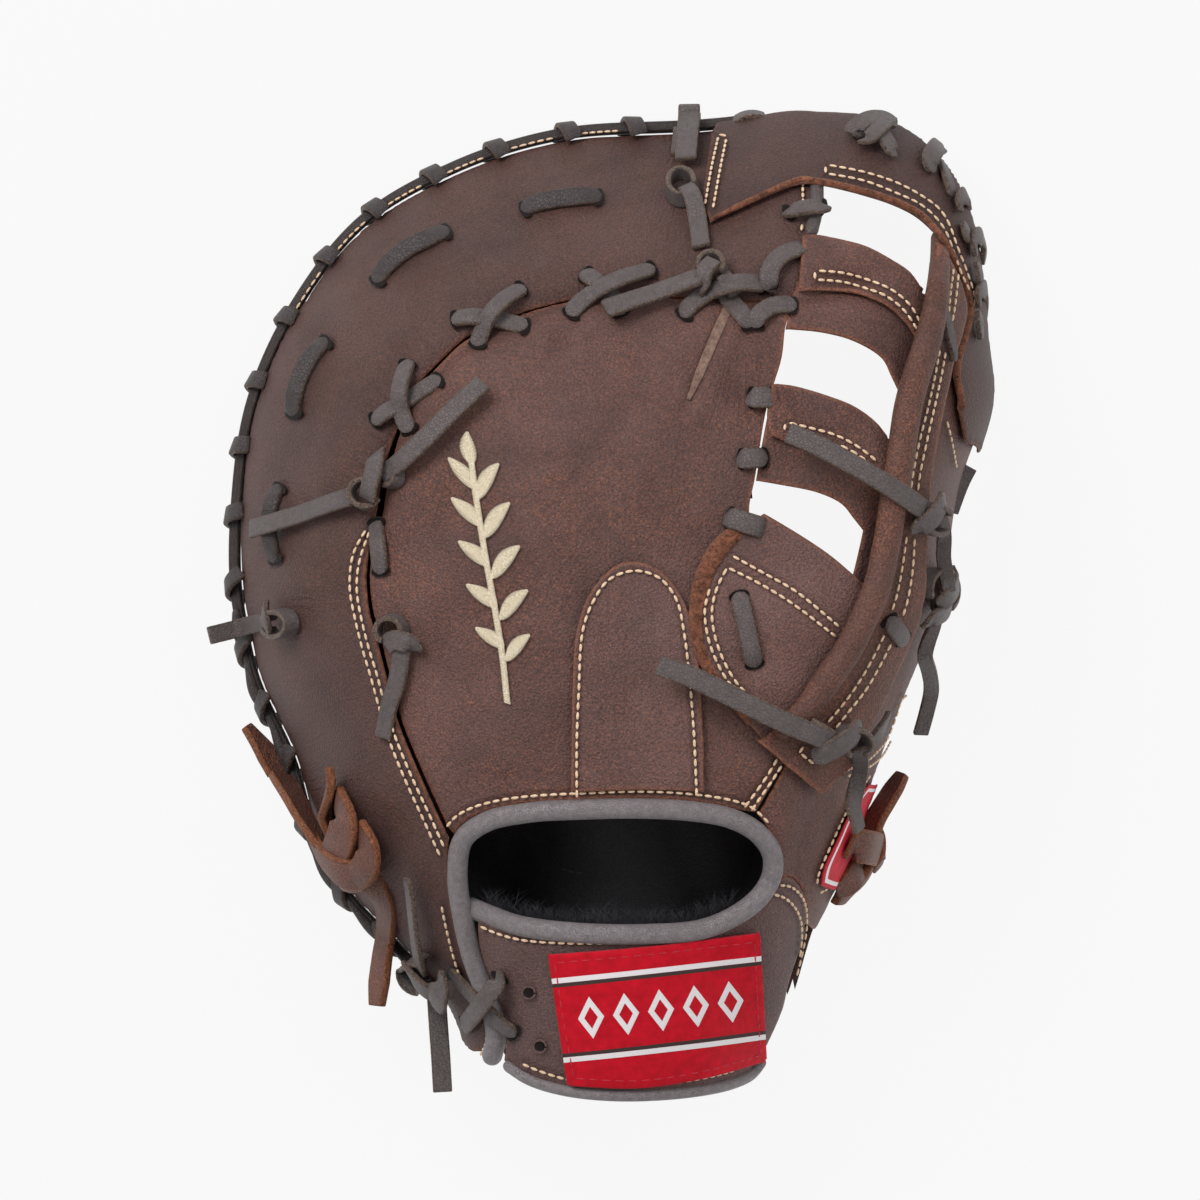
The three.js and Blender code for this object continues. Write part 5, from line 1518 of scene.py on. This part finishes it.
knot_piece("knot_top", [
    dict(px=682, py=185, radius=4.4, high=2.6, start_at=-10, sweep=330),
], [
    dict(points=[(683, 190, 2.2), (686, 186, 5.0), (691, 192, 6.2), (695, 205, 4.2), (698, 222, 1.6),
                 (701, 247, 1.3)], width=6.0, ends=[0.8, 0.95, 1, 1, 1]),
], ["knot_top"])
knot_piece("lace_over_rim", [], [
    dict(points=[(690, 146, -5.5), (691, 126, -2.5), (691, 108, 0.0), (690, 102, 2.6), (690, 106, 5.0),
                 (689, 122, 5.0), (687, 142, 4.0), (686, 157, 3.4)], width=7.0, ends=[0.9, 1, 1]),
    dict(points=[(684, 124, 1.2), (683, 138, 1.6), (681, 152, 1.2)], width=6.6, ends=[1, 1, 1]),
], ["rim_lacing"])
knot_piece("knot_finger_seam", [
    dict(px=712, py=268, radius=3.9, high=3.2, start_at=-40, sweep=300, width=5.6, squeeze=0.9),
], [
    dict(points=[(714, 262, 5.4), (707, 268, 6.2), (703, 276, 5.8), (702, 287, 4.6), (701, 291, 3.6)],
         width=5.8),
    dict(points=[(700, 278, 5.0), (680, 285, 5.6), (655, 294, 6.2), (630, 302, 6.6), (605, 311, 6.4)],
         width=6.6),
    dict(points=[(722, 276, 2.4), (729, 286, 2.0), (734, 297, 1.4)], width=5.0, ends=[1, 1, 0.8]),
], ["knot_finger_seam"])
knot_piece("knot_palm_seam", [
    dict(px=366, py=494, radius=4.3, high=3.2, start_at=40, sweep=300, width=5.8),
    dict(px=390, py=477, radius=3.0, high=2.4, start_at=-100, sweep=220, width=4.8),
], [
    dict(points=[(379, 454, 2.0), (377, 460, 5.4), (374, 475, 6.6), (370, 490, 6.2), (369, 500, 4.4)],
         width=6.2),
    dict(points=[(384, 476, 4.2), (402, 462, 5.4), (428, 438, 6.0), (456, 410, 5.8), (484, 384, 5.2)],
         width=6.4),
    dict(points=[(352, 497, 4.4), (330, 504, 3.4), (305, 513, 2.6), (278, 521, 3.2), (250, 529, 4.4)],
         width=6.0),
], ["knot_palm_seam"])
knot_piece("knot_back", [
    dict(px=392, py=630, radius=4.2, high=2.6, start_at=-80, sweep=320, width=5.4),
], [
    dict(points=[(388, 645, 3.0), (394, 640, 5.0), (404, 641, 5.6), (413, 645, 4.2), (415, 649, 2.4)],
         width=6.4),
    dict(points=[(404, 646, 3.0), (402, 660, 2.4), (398, 682, 2.0), (391, 703, 1.9), (387, 722, 1.5),
                 (384, 737, 1.2)], width=6.0),
], ["knot_back"])
knot_piece("knot_little_finger", [
    dict(px=279, py=624, radius=4.0, high=2.8, start_at=200, sweep=320, width=5.6),
], [
    dict(points=[(266, 607, 1.6), (264, 613, 4.6), (266, 625, 5.4), (269, 634, 3.4)], width=5.2),
    dict(points=[(264, 622, -5.0), (248, 625, -6.0), (230, 630, -4.0), (206, 636, -1.0)], width=5.8,
         free=True, base=LEATHER_TOP + 8),
], ["knot_little_finger"])
knot_piece("knot_heel", [
    dict(px=418, py=975, radius=4.6, high=2.6, start_at=60, sweep=240, width=6.0),
], [
    dict(points=[(408, 878, 3.4), (411, 900, 3.6), (414, 930, 4.4), (418, 958, 5.0), (421, 972, 4.2)],
         width=5.6, lean=[34, 32, 28, 20, 10], ends=[0.7, 1, 1, 1, 1]),
    dict(points=[(406, 968, 3.6), (412, 978, 6.4), (424, 990, 7.0), (436, 996, 5.4), (444, 1001, 3.0)],
         width=7.4, nose=True),
    dict(points=[(441, 972, 2.6), (440, 984, 5.8), (438, 998, 7.2), (436, 1008, 6.8)], width=8.4, nose=True),
    dict(points=[(436, 1000, 5.0), (438, 1030, 5.0), (440, 1058, 4.0), (442, 1094, 2.0)], width=6.2,
         free=True),
], ["knot_heel"])
knot_piece("knot_post_upper", [
    dict(px=932, py=520, radius=4.4, high=3.4, start_at=30, sweep=280, base=POST_TOP, width=6.0),
], [
    dict(points=[(912, 532, 2.6), (918, 528, 5.0), (930, 519, 6.4), (940, 504, 5.0), (941, 497, 3.0)],
         width=7.2, base=POST_TOP, nose=True),
    dict(points=[(921, 510, 5.0), (902, 497, 6.6), (875, 480, 7.6), (845, 463, 7.8), (815, 447, 7.4),
                 (786, 434, 6.6)], width=6.6, base=POST_TOP),
    dict(points=[(939, 518, 3.6), (943, 535, 2.2), (943, 558, 0.8), (946, 576, 0.4), (948, 592, 1.6)],
         width=4.8, base=POST_TOP, lean=[20, 55, 65, 60, 40]),
], ["knot_post_upper"])
knot_piece("knot_post_lower", [
    dict(px=852, py=741, radius=4.4, high=3.2, start_at=-60, sweep=300, base=POST_TOP, width=6.0),
], [
    dict(points=[(811, 752, 2.2), (820, 753, 5.0), (838, 744, 6.8), (853, 731, 5.6), (858, 724, 3.4)],
         width=7.2, base=POST_TOP, nose=True),
    dict(points=[(832, 741, 5.0), (812, 733, 6.0), (785, 722, 6.8), (752, 706, 7.2), (716, 688, 7.4),
                 (686, 674, 7.2), (658, 664, 6.6)], width=6.8, base=POST_TOP),
    dict(points=[(858, 748, 3.4), (860, 765, 2.0), (856, 785, 1.8), (852, 805, 3.4), (856, 820, 5.4),
                 (858, 830, 6.0)], width=5.6, base=POST_TOP, lean=[40, 66, 60, 30, 5, 0],
                 ends=[0.9, 0.9, 1, 1.15, 1]),
    dict(points=[(868, 742, 1.6), (874, 738, 3.2), (882, 727, 3.0), (888, 714, 1.0)], width=6.4,
         base=LEATHER_TOP, ends=[0.9, 1, 0.8, 0.4]),
    dict(points=[(808, 722, 3.6), (818, 728, 4.4), (829, 735, 4.2)], width=4.6, base=POST_TOP,
         lean=[50, 40, 30]),
], ["knot_post_lower"])
knot_piece("knot_thumb", [
    dict(px=938, py=590, radius=4.6, high=1.6, start_at=-60, sweep=260, base=LEATHER_TOP, width=6.2,
         squeeze=1.4),
], [
    dict(points=[(931, 600, 1.0), (938, 604, 4.0), (949, 596, 6.0), (957, 584, 4.6), (954, 573, 2.4)],
         width=6.8, base=LEATHER_TOP),
    dict(points=[(924, 626, 2.4), (934, 618, 4.6), (946, 612, 4.4), (952, 600, 2.6)], width=6.0,
         base=LEATHER_TOP),
    dict(points=[(938, 608, 3.8), (934, 625, 3.8), (928, 642, 3.4), (925, 656, 3.6), (930, 672, 5.0),
                 (933, 690, 6.2), (929, 712, 7.0), (923, 735, 7.6)], width=5.0, base=LEATHER_TOP,
         lean=[10, 30, 50, 60, 60, 60, 62, 64]),
    dict(points=[(954, 512, 0.4), (960, 495, 1.2), (966, 480, 1.8), (973, 466, 1.6)], width=4.8,
         base=LEATHER_TOP, lean=[30, 30, 30, 20], free=True),
], ["knot_thumb"])
knot_piece("tie_little_finger", [], [
    dict(points=[(243, 727, 8.0), (262, 752, 6.4), (284, 786, 4.8), (306, 824, 4.0), (322, 850, 4.2)],
         width=10.5, lean=[35, 46, 50, 46, 30], ends=[0.35, 0.85, 1, 1, 1]),
    dict(points=[(330, 768, 5.6), (331, 786, 4.2), (326, 806, 2.8), (328, 828, 2.4), (334, 846, 3.0)],
         width=11.5, lean=[20, 30, 40, 30, 10], ends=[0.16, 0.75, 1, 1, 0.9]),
    dict(points=[(340, 800, 2.0), (345, 815, 5.2), (343, 836, 6.8), (334, 858, 5.4), (328, 868, 3.0)],
         width=12.0, ends=[0.9, 1, 1, 1, 0.9], curl=0.5),
    dict(points=[(312, 838, 2.4), (322, 856, 5.6), (341, 872, 8.2), (362, 872, 6.0), (372, 862, 3.0)],
         width=11.0, ends=[0.8, 1, 1.05, 1, 0.8], curl=0.5),
    dict(points=[(361, 828, 2.6), (369, 846, 5.8), (366, 866, 7.8), (350, 880, 6.0), (340, 880, 3.4)],
         width=9.6, ends=[0.9, 1, 1, 1, 0.8], curl=0.5),
    dict(points=[(366, 872, 4.0), (376, 888, 5.0), (384, 908, 5.0), (385, 932, 5.0), (381, 960, 4.5),
                 (378, 985, 4.0), (376, 1008, 3.5)], width=9.5, lean=[10, 46, 58, 60, 56, 50, 46], free=True,
         ends=[1, 1, 1, 1, 0.95, 0.9, 0.6]),
], ["tie_little_finger"], [TIE_BROWN, HOLE_SHADE], 2.8)
knot_piece("tie_thumb", [], [
    dict(points=[(905, 775, 3.0), (896, 789, 3.6), (886, 805, 4.0), (878, 818, 4.4), (870, 834, 4.2)],
         width=9.0, lean=[50, 56, 58, 56, 46], ends=[0.5, 0.9, 1, 1, 1], free=True),
    dict(points=[(846, 848, 0.4), (856, 846, 3.6), (870, 848, 6.4), (880, 852, 6.0), (882, 862, 2.4)],
         width=11.0, ends=[0.8, 1, 1, 1, 0.8], curl=0.5),
    dict(points=[(880, 834, 2.0), (883, 846, 5.2), (882, 860, 6.6), (874, 870, 6.0)], width=9.0,
         ends=[0.8, 1, 1, 0.9]),
    dict(points=[(872, 866, 5.0), (864, 880, 4.6), (850, 892, 2.6), (838, 896, 0.4)], width=10.0,
         ends=[0.9, 1, 1, 0.7], curl=0.4),
    dict(points=[(862, 862, 1.6), (856, 874, 3.4), (846, 886, 2.6), (836, 890, 0.4)], width=9.0,
         ends=[0.9, 1, 1, 0.7], lean=[30, 36, 30, 20]),
], ["tie_thumb"], [TIE_BROWN, HOLE_SHADE], 2.8)

# The whip lace over the edge of the web
shape = start()
for path, width in (
    ([(862, 134, -1.0), (857, 128, 1.4), (864, 120, 3.2), (878, 114, 3.6), (892, 116, 3.0), (897, 124, 1.0)],
     7.4),
    ([(862, 141, 0.6), (870, 136, 3.8), (882, 124, 4.4), (893, 113, 2.0)], 5.2),
    ([(877, 122, 0.6), (885, 134, 3.0), (893, 148, 2.0), (896, 154, 0.2)], 6.0),
    ([(934, 171, 0.0), (932, 158, 2.0), (937, 147, 3.0), (942, 142, 1.4), (946, 150, -2.0)], 6.4),
    ([(945, 160, -1.0), (949, 174, 1.2), (953, 188, 1.0), (953, 194, 0.0)], 4.0),
    ([(962, 208, 0.2), (963, 200, 2.2), (967, 192, 2.0), (971, 203, -2.0)], 5.4),
    ([(966, 222, 0.4), (968, 232, 1.6), (970, 239, 0.2)], 4.2),
    ([(977, 252, 0.4), (977, 240, 2.2), (982, 233, 2.0), (987, 246, -1.6), (985, 262, -2.4)], 5.8),
    ([(979, 262, 1.0), (981, 275, 1.8), (984, 290, 0.4)], 4.6),
    ([(980, 305, 0.4), (981, 294, 2.0), (986, 286, 1.4), (989, 298, -1.6), (988, 316, -2.4)], 5.4),
    ([(980, 312, 0.8), (981, 324, 1.6), (982, 337, 0.4)], 4.8),
):
    strip(shape, path, width, base=FACED, nose=True)
strip(shape, [(733, 126, -2.0), (736, 117, 0.4), (746, 111, 1.0), (758, 110, 0.6), (766, 112, -1.0)], 6.4,
      base=LEATHER, ends=[0.8, 1, 1, 0.9])
finish_piece("web_edge_lace", shape, [LACE_GREY])


# Stitching
for name, top, line in STITCHES:
    shape = start()
    stitch_row(shape, line, top)
    finish_piece("stitches_" + name, shape, [THREAD])

shape = start()
beads = []
for first, last in zip([84.0] + RIM_LACE_AT[:6], RIM_LACE_AT[:7]):
    angle = np.radians(np.linspace(first + 1.7, last - 1.7, 12))
    places = even(rim_point(angle, 2.5, 1.7), 2.7)
    for one, two in zip(places, places[1:]):
        beads.append((one * 0.86 + two * 0.14, one * 0.14 + two * 0.86, np.array([0, 0, 1.0]), 0.8, 0.8))
sew(shape, beads)
finish_piece("stitches_rim", shape, [THREAD])


# The label on the strap, the patch on the thumb, and what hides under the strap
LABEL = [(548, 953), (760, 932), (768, 1063), (567, 1085)]
LABEL_TURN = math.radians(6.0)


# The label's weave in metres: how far from the middle its stripes run and half their width, then the
# pitch of the diamonds, half their length and height, and how far their row reaches
WHITE_STRIPE, DARK_STRIPE = (0.0128, 0.00085), (0.0113, 0.0006)
DIAMOND_PITCH, DIAMOND_LONG, DIAMOND_HIGH, DIAMOND_ROW = 0.0112, 0.0042, 0.0068, 0.0265
# What share of a diamond its red core takes
DIAMOND_CORE = 0.52


def label_cloth():
    """Red woven cloth with a pair of stripes by each long edge and a row of diamonds between them."""
    made, tree, shader, place = skin("Label cloth")
    middle = np.mean([plan(*corner) for corner in LABEL], axis=0) + MIDDLE[:2]
    centred = add(tree, "ShaderNodeVectorMath", {0: place, 1: (middle[0] * MM, middle[1] * MM, 0)},
                  operation="SUBTRACT")
    turned = add(tree, "ShaderNodeVectorRotate", {"Vector": centred.outputs[0], "Angle": -LABEL_TURN},
                 rotation_type="Z_AXIS")
    split = add(tree, "ShaderNodeSeparateXYZ", {0: turned.outputs[0]})
    along_x, across = split.outputs[0], split.outputs[1]
    high = maths(tree, "ABSOLUTE", across)
    white, dark = (
        maths(tree, "LESS_THAN", maths(tree, "ABSOLUTE", maths(tree, "SUBTRACT", high, middle)), half)
        for middle, half in (WHITE_STRIPE, DARK_STRIPE)
    )
    cell = maths(tree, "PINGPONG", along_x, DIAMOND_PITCH / 2)
    diamond = maths(tree, "ADD", maths(tree, "DIVIDE", cell, DIAMOND_LONG),
                    maths(tree, "DIVIDE", high, DIAMOND_HIGH))
    inner = maths(tree, "LESS_THAN", diamond, 1.0)
    core = maths(tree, "LESS_THAN", diamond, DIAMOND_CORE)
    short = maths(tree, "LESS_THAN", maths(tree, "ABSOLUTE", along_x), DIAMOND_ROW)
    inner = maths(tree, "MULTIPLY", maths(tree, "SUBTRACT", inner, core), short)
    shown = maths(tree, "MAXIMUM", white, inner)
    ribs = maths(tree, "SINE", maths(tree, "MULTIPLY", across, 9500.0))
    columns = maths(tree, "SINE", maths(tree, "MULTIPLY", along_x, 7000.0))
    woven = maths(tree, "MULTIPLY", ribs, columns)
    uneven = noise_node(tree, place, 260.0, 4.0, 0.6)
    red = blend_colours(tree, ramp(tree, maths(tree, "ADD", uneven, maths(tree, "MULTIPLY", woven, 0.08)),
                                   0.3, 0.7),
                        tone(178, 4, 26), tone(210, 8, 36))
    colour = blend_colours(tree, dark, red, tone(64, 52, 50))
    colour = blend_colours(tree, shown, colour, tone(236, 230, 232))
    tree.links.new(colour, shader.inputs["Base Color"])
    shader.inputs["Roughness"].default_value = 0.7
    shader.inputs["Specular IOR Level"].default_value = 0.2
    raised = maths(tree, "ADD", maths(tree, "MULTIPLY", woven, 0.25), maths(tree, "MAXIMUM", shown, dark))
    bump(tree, shader, raised, 0.00025, 0.8)
    return made


def patch_cloth():
    """Red woven cloth with a white ring, by the distance from its own edge."""
    made, tree, shader, place = skin("Patch cloth")
    edge = mask(tree, "rim")
    white = maths(tree, "LESS_THAN", maths(tree, "ABSOLUTE", maths(tree, "SUBTRACT", edge, 2.3)), 0.75)
    uneven = noise_node(tree, place, 260.0, 4.0, 0.6)
    red = blend_colours(tree, ramp(tree, uneven, 0.3, 0.7), tone(180, 10, 34), tone(210, 18, 48))
    tree.links.new(blend_colours(tree, white, red, tone(236, 230, 232)), shader.inputs["Base Color"])
    shader.inputs["Roughness"].default_value = 0.7
    weave = noise_node(tree, place, 1800.0, 3.0, 0.6)
    bump(tree, shader, maths(tree, "ADD", weave, white), 0.0003, 0.7)
    return made


LABEL_CLOTH = label_cloth()
LABEL_EDGE = plain_cloth("Label edge", (186, 22, 44), (150, 12, 32))
RED_THREAD = thread("Label thread", (214, 40, 62), (150, 10, 30))
LINING_THREAD = thread("Lining thread", (66, 66, 70), (44, 44, 48))


def palm_spots(spots):
    """Places on the lining that are seen at these places."""
    angle = np.arctan2(spots[:, 1], spots[:, 0])
    point = palm_inside(np.hypot(spots[:, 0], spots[:, 1]) / edge_column(angle, 0), angle)
    point[:, 2] += LAYER_GAP + LINING + 0.2
    return point


leather_sheet(
    "label", [[LABEL[0], (654, 944), LABEL[1]], [LABEL[1], LABEL[2]],
              [LABEL[2], (700, 1079), (640, 1087), LABEL[3]], [LABEL[3], LABEL[0]]],
    LEATHER_TOP - 0.3, 0.9, 1.6, [LABEL_CLOTH, LABEL_EDGE], ["strap_label"],
)
shape = start()
label_top = LEATHER_TOP + 0.6
for line in ([(555, 961), (654, 952), (754, 941)], [(754, 941), (757, 1000), (761, 1056)],
             [(761, 1056), (700, 1071), (640, 1079), (574, 1077)], [(574, 1077), (564, 1020), (555, 961)]):
    stitch_row(shape, line, label_top, pitch=4.2, thick=0.5, lift=0.02)
finish_piece("label_stitches", shape, [RED_THREAD])

leather_sheet(
    "patch",
    [[(822, 886), (825, 870), (838, 842), (851, 815), (864, 795), (874, 783)], Rim(326, 309)],
    LEATHER_TOP - 0.2, 1.0, 0.8, [patch_cloth(), LABEL_EDGE], ["thumb_patch"],
)
shape = start()
stitch_row(shape, [(817, 884), (818, 875), (832, 842), (845, 814), (858, 793), (871, 776)], LEATHER,
           pitch=2.8)
stitch_row(shape, [(820, 893), (828, 889)], LEATHER, pitch=2.8)
finish_piece("patch_stitches", shape, [THREAD])

leather_sheet(
    "fleece",
    [[(515, 950), (560, 948), (640, 950), (700, 947), (745, 938), (756, 965), (742, 1030), (700, 1058),
      (620, 1062), (560, 1052), (528, 1030), (518, 985), (515, 950)]],
    -LAYER_GAP - 5.0, 5.0, 3.0, [FLEECE_SKIN, FLEECE_SKIN], ["strap_fleece"],
)
dice = random.Random(4)
shape = start()
hem = smooth_px([(486, 902), (520, 913), (580, 920), (650, 921), (700, 917), (732, 905)], 1.0)
roots, depths = [], []
TUFTS = 820
for _ in range(TUFTS):
    share = dice.random()
    root = hem[int(share * (len(hem) - 1))] + np.array([dice.uniform(-1.2, 1.2), dice.uniform(-3.0, 0.5)])
    clump = 0.5 + 0.5 * math.sin(share * 23.0) * math.sin(share * 9.0 + 1.0)
    length = dice.uniform(1.8, 4.8) + 4.2 * clump * dice.random()
    lean, bend = dice.uniform(-0.9, 0.9), dice.uniform(-0.8, 0.8)
    depth = dice.uniform(-8.0, -3.5)
    for step in range(5):
        t = step / 4
        roots.append(root + length * np.array([lean * t + bend * t * t, t]))
        depths.append(depth + 1.6 * t - 1.2 * t * t)
hairs = above(np.array(roots), np.array(depths))[0].reshape(TUFTS, 5, 3)
turns = np.arange(4) * TURN / 3
triangle = np.stack([np.cos(turns), 0 * turns, np.sin(turns)], -1)
rows = hairs[:, :, None] + triangle[None, None] * np.array([0.15, 0.14, 0.12, 0.08, 0.02])[None, :, None,
                                                                                           None]
net(shape, rows.reshape(TUFTS * 5, 4, 3), block=5)
finish_piece("fleece_tufts", shape, [FLEECE_SKIN])

# Two eyelets in the strap, and the fold of the dart by the web
shape = start()
for px, py in ((529, 991), (540, 1045)):
    space, up, _ = above(np.array([plan(px - 4, py), plan(px + 4, py)]), LEATHER - 0.02)
    # painted shade: each eyelet's hole is a dark flat patch, with a ring of strap leather round it
    sew(shape, [(space[0], space[1], up[0], 3.4, 0.16)], 1)
    ring(shape, px, py, 2.0, 0.05, 0, 345, 0.5, 0.6)
finish_piece("eyelets", shape, [STRAP_BROWN, HOLE_SHADE])
shape = start()
line = [(730, 306, 0.5), (720, 326, 0.5), (708, 354, 0.45), (697, 380, 0.35), (688, 401, 0.1)]
strip(shape, line, 3.3, 1.3, ends=[1, 1, 1, 0.9, 0.4])
finish_piece("dart_fold", shape, [DART_SUEDE])

# A row of thread that is sewn in an arc on the lining
shape = start()
arc = palm_spots(smooth_px([(531, 826), (533, 842), (541, 857), (552, 866), (567, 871), (584, 874)], 2.4))
sew(shape, [(one * 0.86 + two * 0.14, one * 0.14 + two * 0.86, np.array([0, 0, 1.0]), 0.7, 0.8)
            for one, two in zip(arc, arc[1:])])
finish_piece("stitches_lining", shape, [LINING_THREAD])


# A sprig in satin stitch on the back of the hand
def satin(shape, pairs, thick):
    """Threads laid side by side, each across from one place to another."""
    space, up, _ = above(np.array(pairs).reshape(-1, 2), LEATHER + 0.14)
    beads = [(space[index], space[index + 1], up[index], thick, 1.0) for index in range(0, len(space), 2)]
    sew(shape, beads)


def leaf(base, tip, width, bow):
    """The two ends of each thread of a leaf."""
    base, tip = np.array(plan(*base)), np.array(plan(*tip))
    length = np.linalg.norm(tip - base)
    ahead = (tip - base) / length
    across = np.array([-ahead[1], ahead[0]])
    count = int(length / 0.46)
    pairs = []
    for index in range(1, count):
        t = index / count
        middle = base + ahead * length * t + across * bow * math.sin(math.pi * t)
        half = width / 2 * math.sin(math.pi * t ** 0.85) ** 0.8
        reach = (across + ahead * 0.4) * half
        pairs.append((middle - reach, middle + reach))
    return pairs


STEM = [(472, 462), (478, 505), (486, 555), (495, 605), (503, 655), (508, 702)]
LEAVES = [
    ((472, 466), (468, 432), 5.2, 0.4), ((475, 490), (449, 458), 4.8, -0.6),
    ((477, 500), (500, 464), 5.2, 0.7), ((481, 527), (452, 498), 5.0, -0.7),
    ((484, 538), (511, 503), 5.4, 0.7), ((489, 567), (459, 541), 5.0, -0.7),
    ((492, 578), (521, 546), 5.4, 0.7), ((497, 608), (467, 584), 5.0, -0.7),
    ((500, 619), (529, 590), 5.2, 0.7), ((504, 648), (476, 627), 4.6, -0.6),
    ((506, 660), (531, 634), 4.6, 0.6),
]
shape = start()
stem = even(smooth_px(STEM, 0.5), 0.5)
direction = np.gradient(stem, axis=0)
direction /= np.linalg.norm(direction, axis=1, keepdims=True)
sideways = np.stack([-direction[:, 1], direction[:, 0]], -1)
satin(shape, [(spot - side - ahead * 0.5, spot + side + ahead * 0.5)
              for spot, side, ahead in zip(stem, sideways, direction)], 0.56)
for base, tip, width, bow in LEAVES:
    satin(shape, leaf(base, tip, width, bow), 0.56)
finish_piece("embroidery", shape, [CREAM])


# Camera, light and floor
def make_light(name, place, size, power, aim):
    lamp = bpy.data.lights.new(name, "AREA")
    lamp.shape = "DISK"
    lamp.size = size
    lamp.energy = power
    made = bpy.data.objects.new(name, lamp)
    bpy.context.collection.objects.link(made)
    made.location = place
    made.rotation_euler = (Vector(aim) - Vector(place)).to_track_quat("-Z", "Y").to_euler()


FRAME_WIDE = 1200 * PIXEL * MM
LENS = 500.0
SENSOR = 36.0
LOOK_HEIGHT = 0.06
PAPER_GLOW = 0.905
ROOM_LIGHT = 0.46
lens = bpy.data.cameras.new("Camera")
lens.lens = LENS
lens.sensor_width = SENSOR
lens.clip_end = 50
camera = bpy.data.objects.new("Camera", lens)
bpy.context.collection.objects.link(camera)
camera.location = (MIDDLE[0] * MM, MIDDLE[1] * MM, LOOK_HEIGHT + FRAME_WIDE * LENS / SENSOR)
bpy.context.scene.camera = camera

floor_shape = bmesh.new()
bmesh.ops.create_grid(floor_shape, x_segments=2, y_segments=2, size=6)
floor_mesh = bpy.data.meshes.new("Floor")
floor_shape.to_mesh(floor_mesh)
floor_shape.free()
floor = bpy.data.objects.new("Floor", floor_mesh)
floor_mesh.transform(Matrix.Translation((0, 0, -0.0002)))
bpy.context.collection.objects.link(floor)
paper, tree, shader, place = skin("Paper")
shader.inputs["Base Color"].default_value = (0.04, 0.04, 0.04, 1)
shader.inputs["Roughness"].default_value = 0.9
shader.inputs["Specular IOR Level"].default_value = 0.0
shader.inputs["Emission Color"].default_value = (1, 1, 1, 1)
shader.inputs["Emission Strength"].default_value = PAPER_GLOW
floor_mesh.materials.append(paper)

world = bpy.data.worlds.new("Studio")
world.use_nodes = True
world.node_tree.nodes["Background"].inputs[0].default_value = (1.0, 1.0, 1.0, 1)
world.node_tree.nodes["Background"].inputs[1].default_value = ROOM_LIGHT
bpy.context.scene.world = world
make_light("Key", (-0.9, 1.1, 1.7), 1.2, 32.0, (0, 0, 0.03))
make_light("Fill", (1.3, 0.3, 1.6), 1.6, 9.0, (0, 0, 0.03))
bpy.context.scene.view_settings.view_transform = "Standard"
bpy.context.scene.view_settings.look = "None"
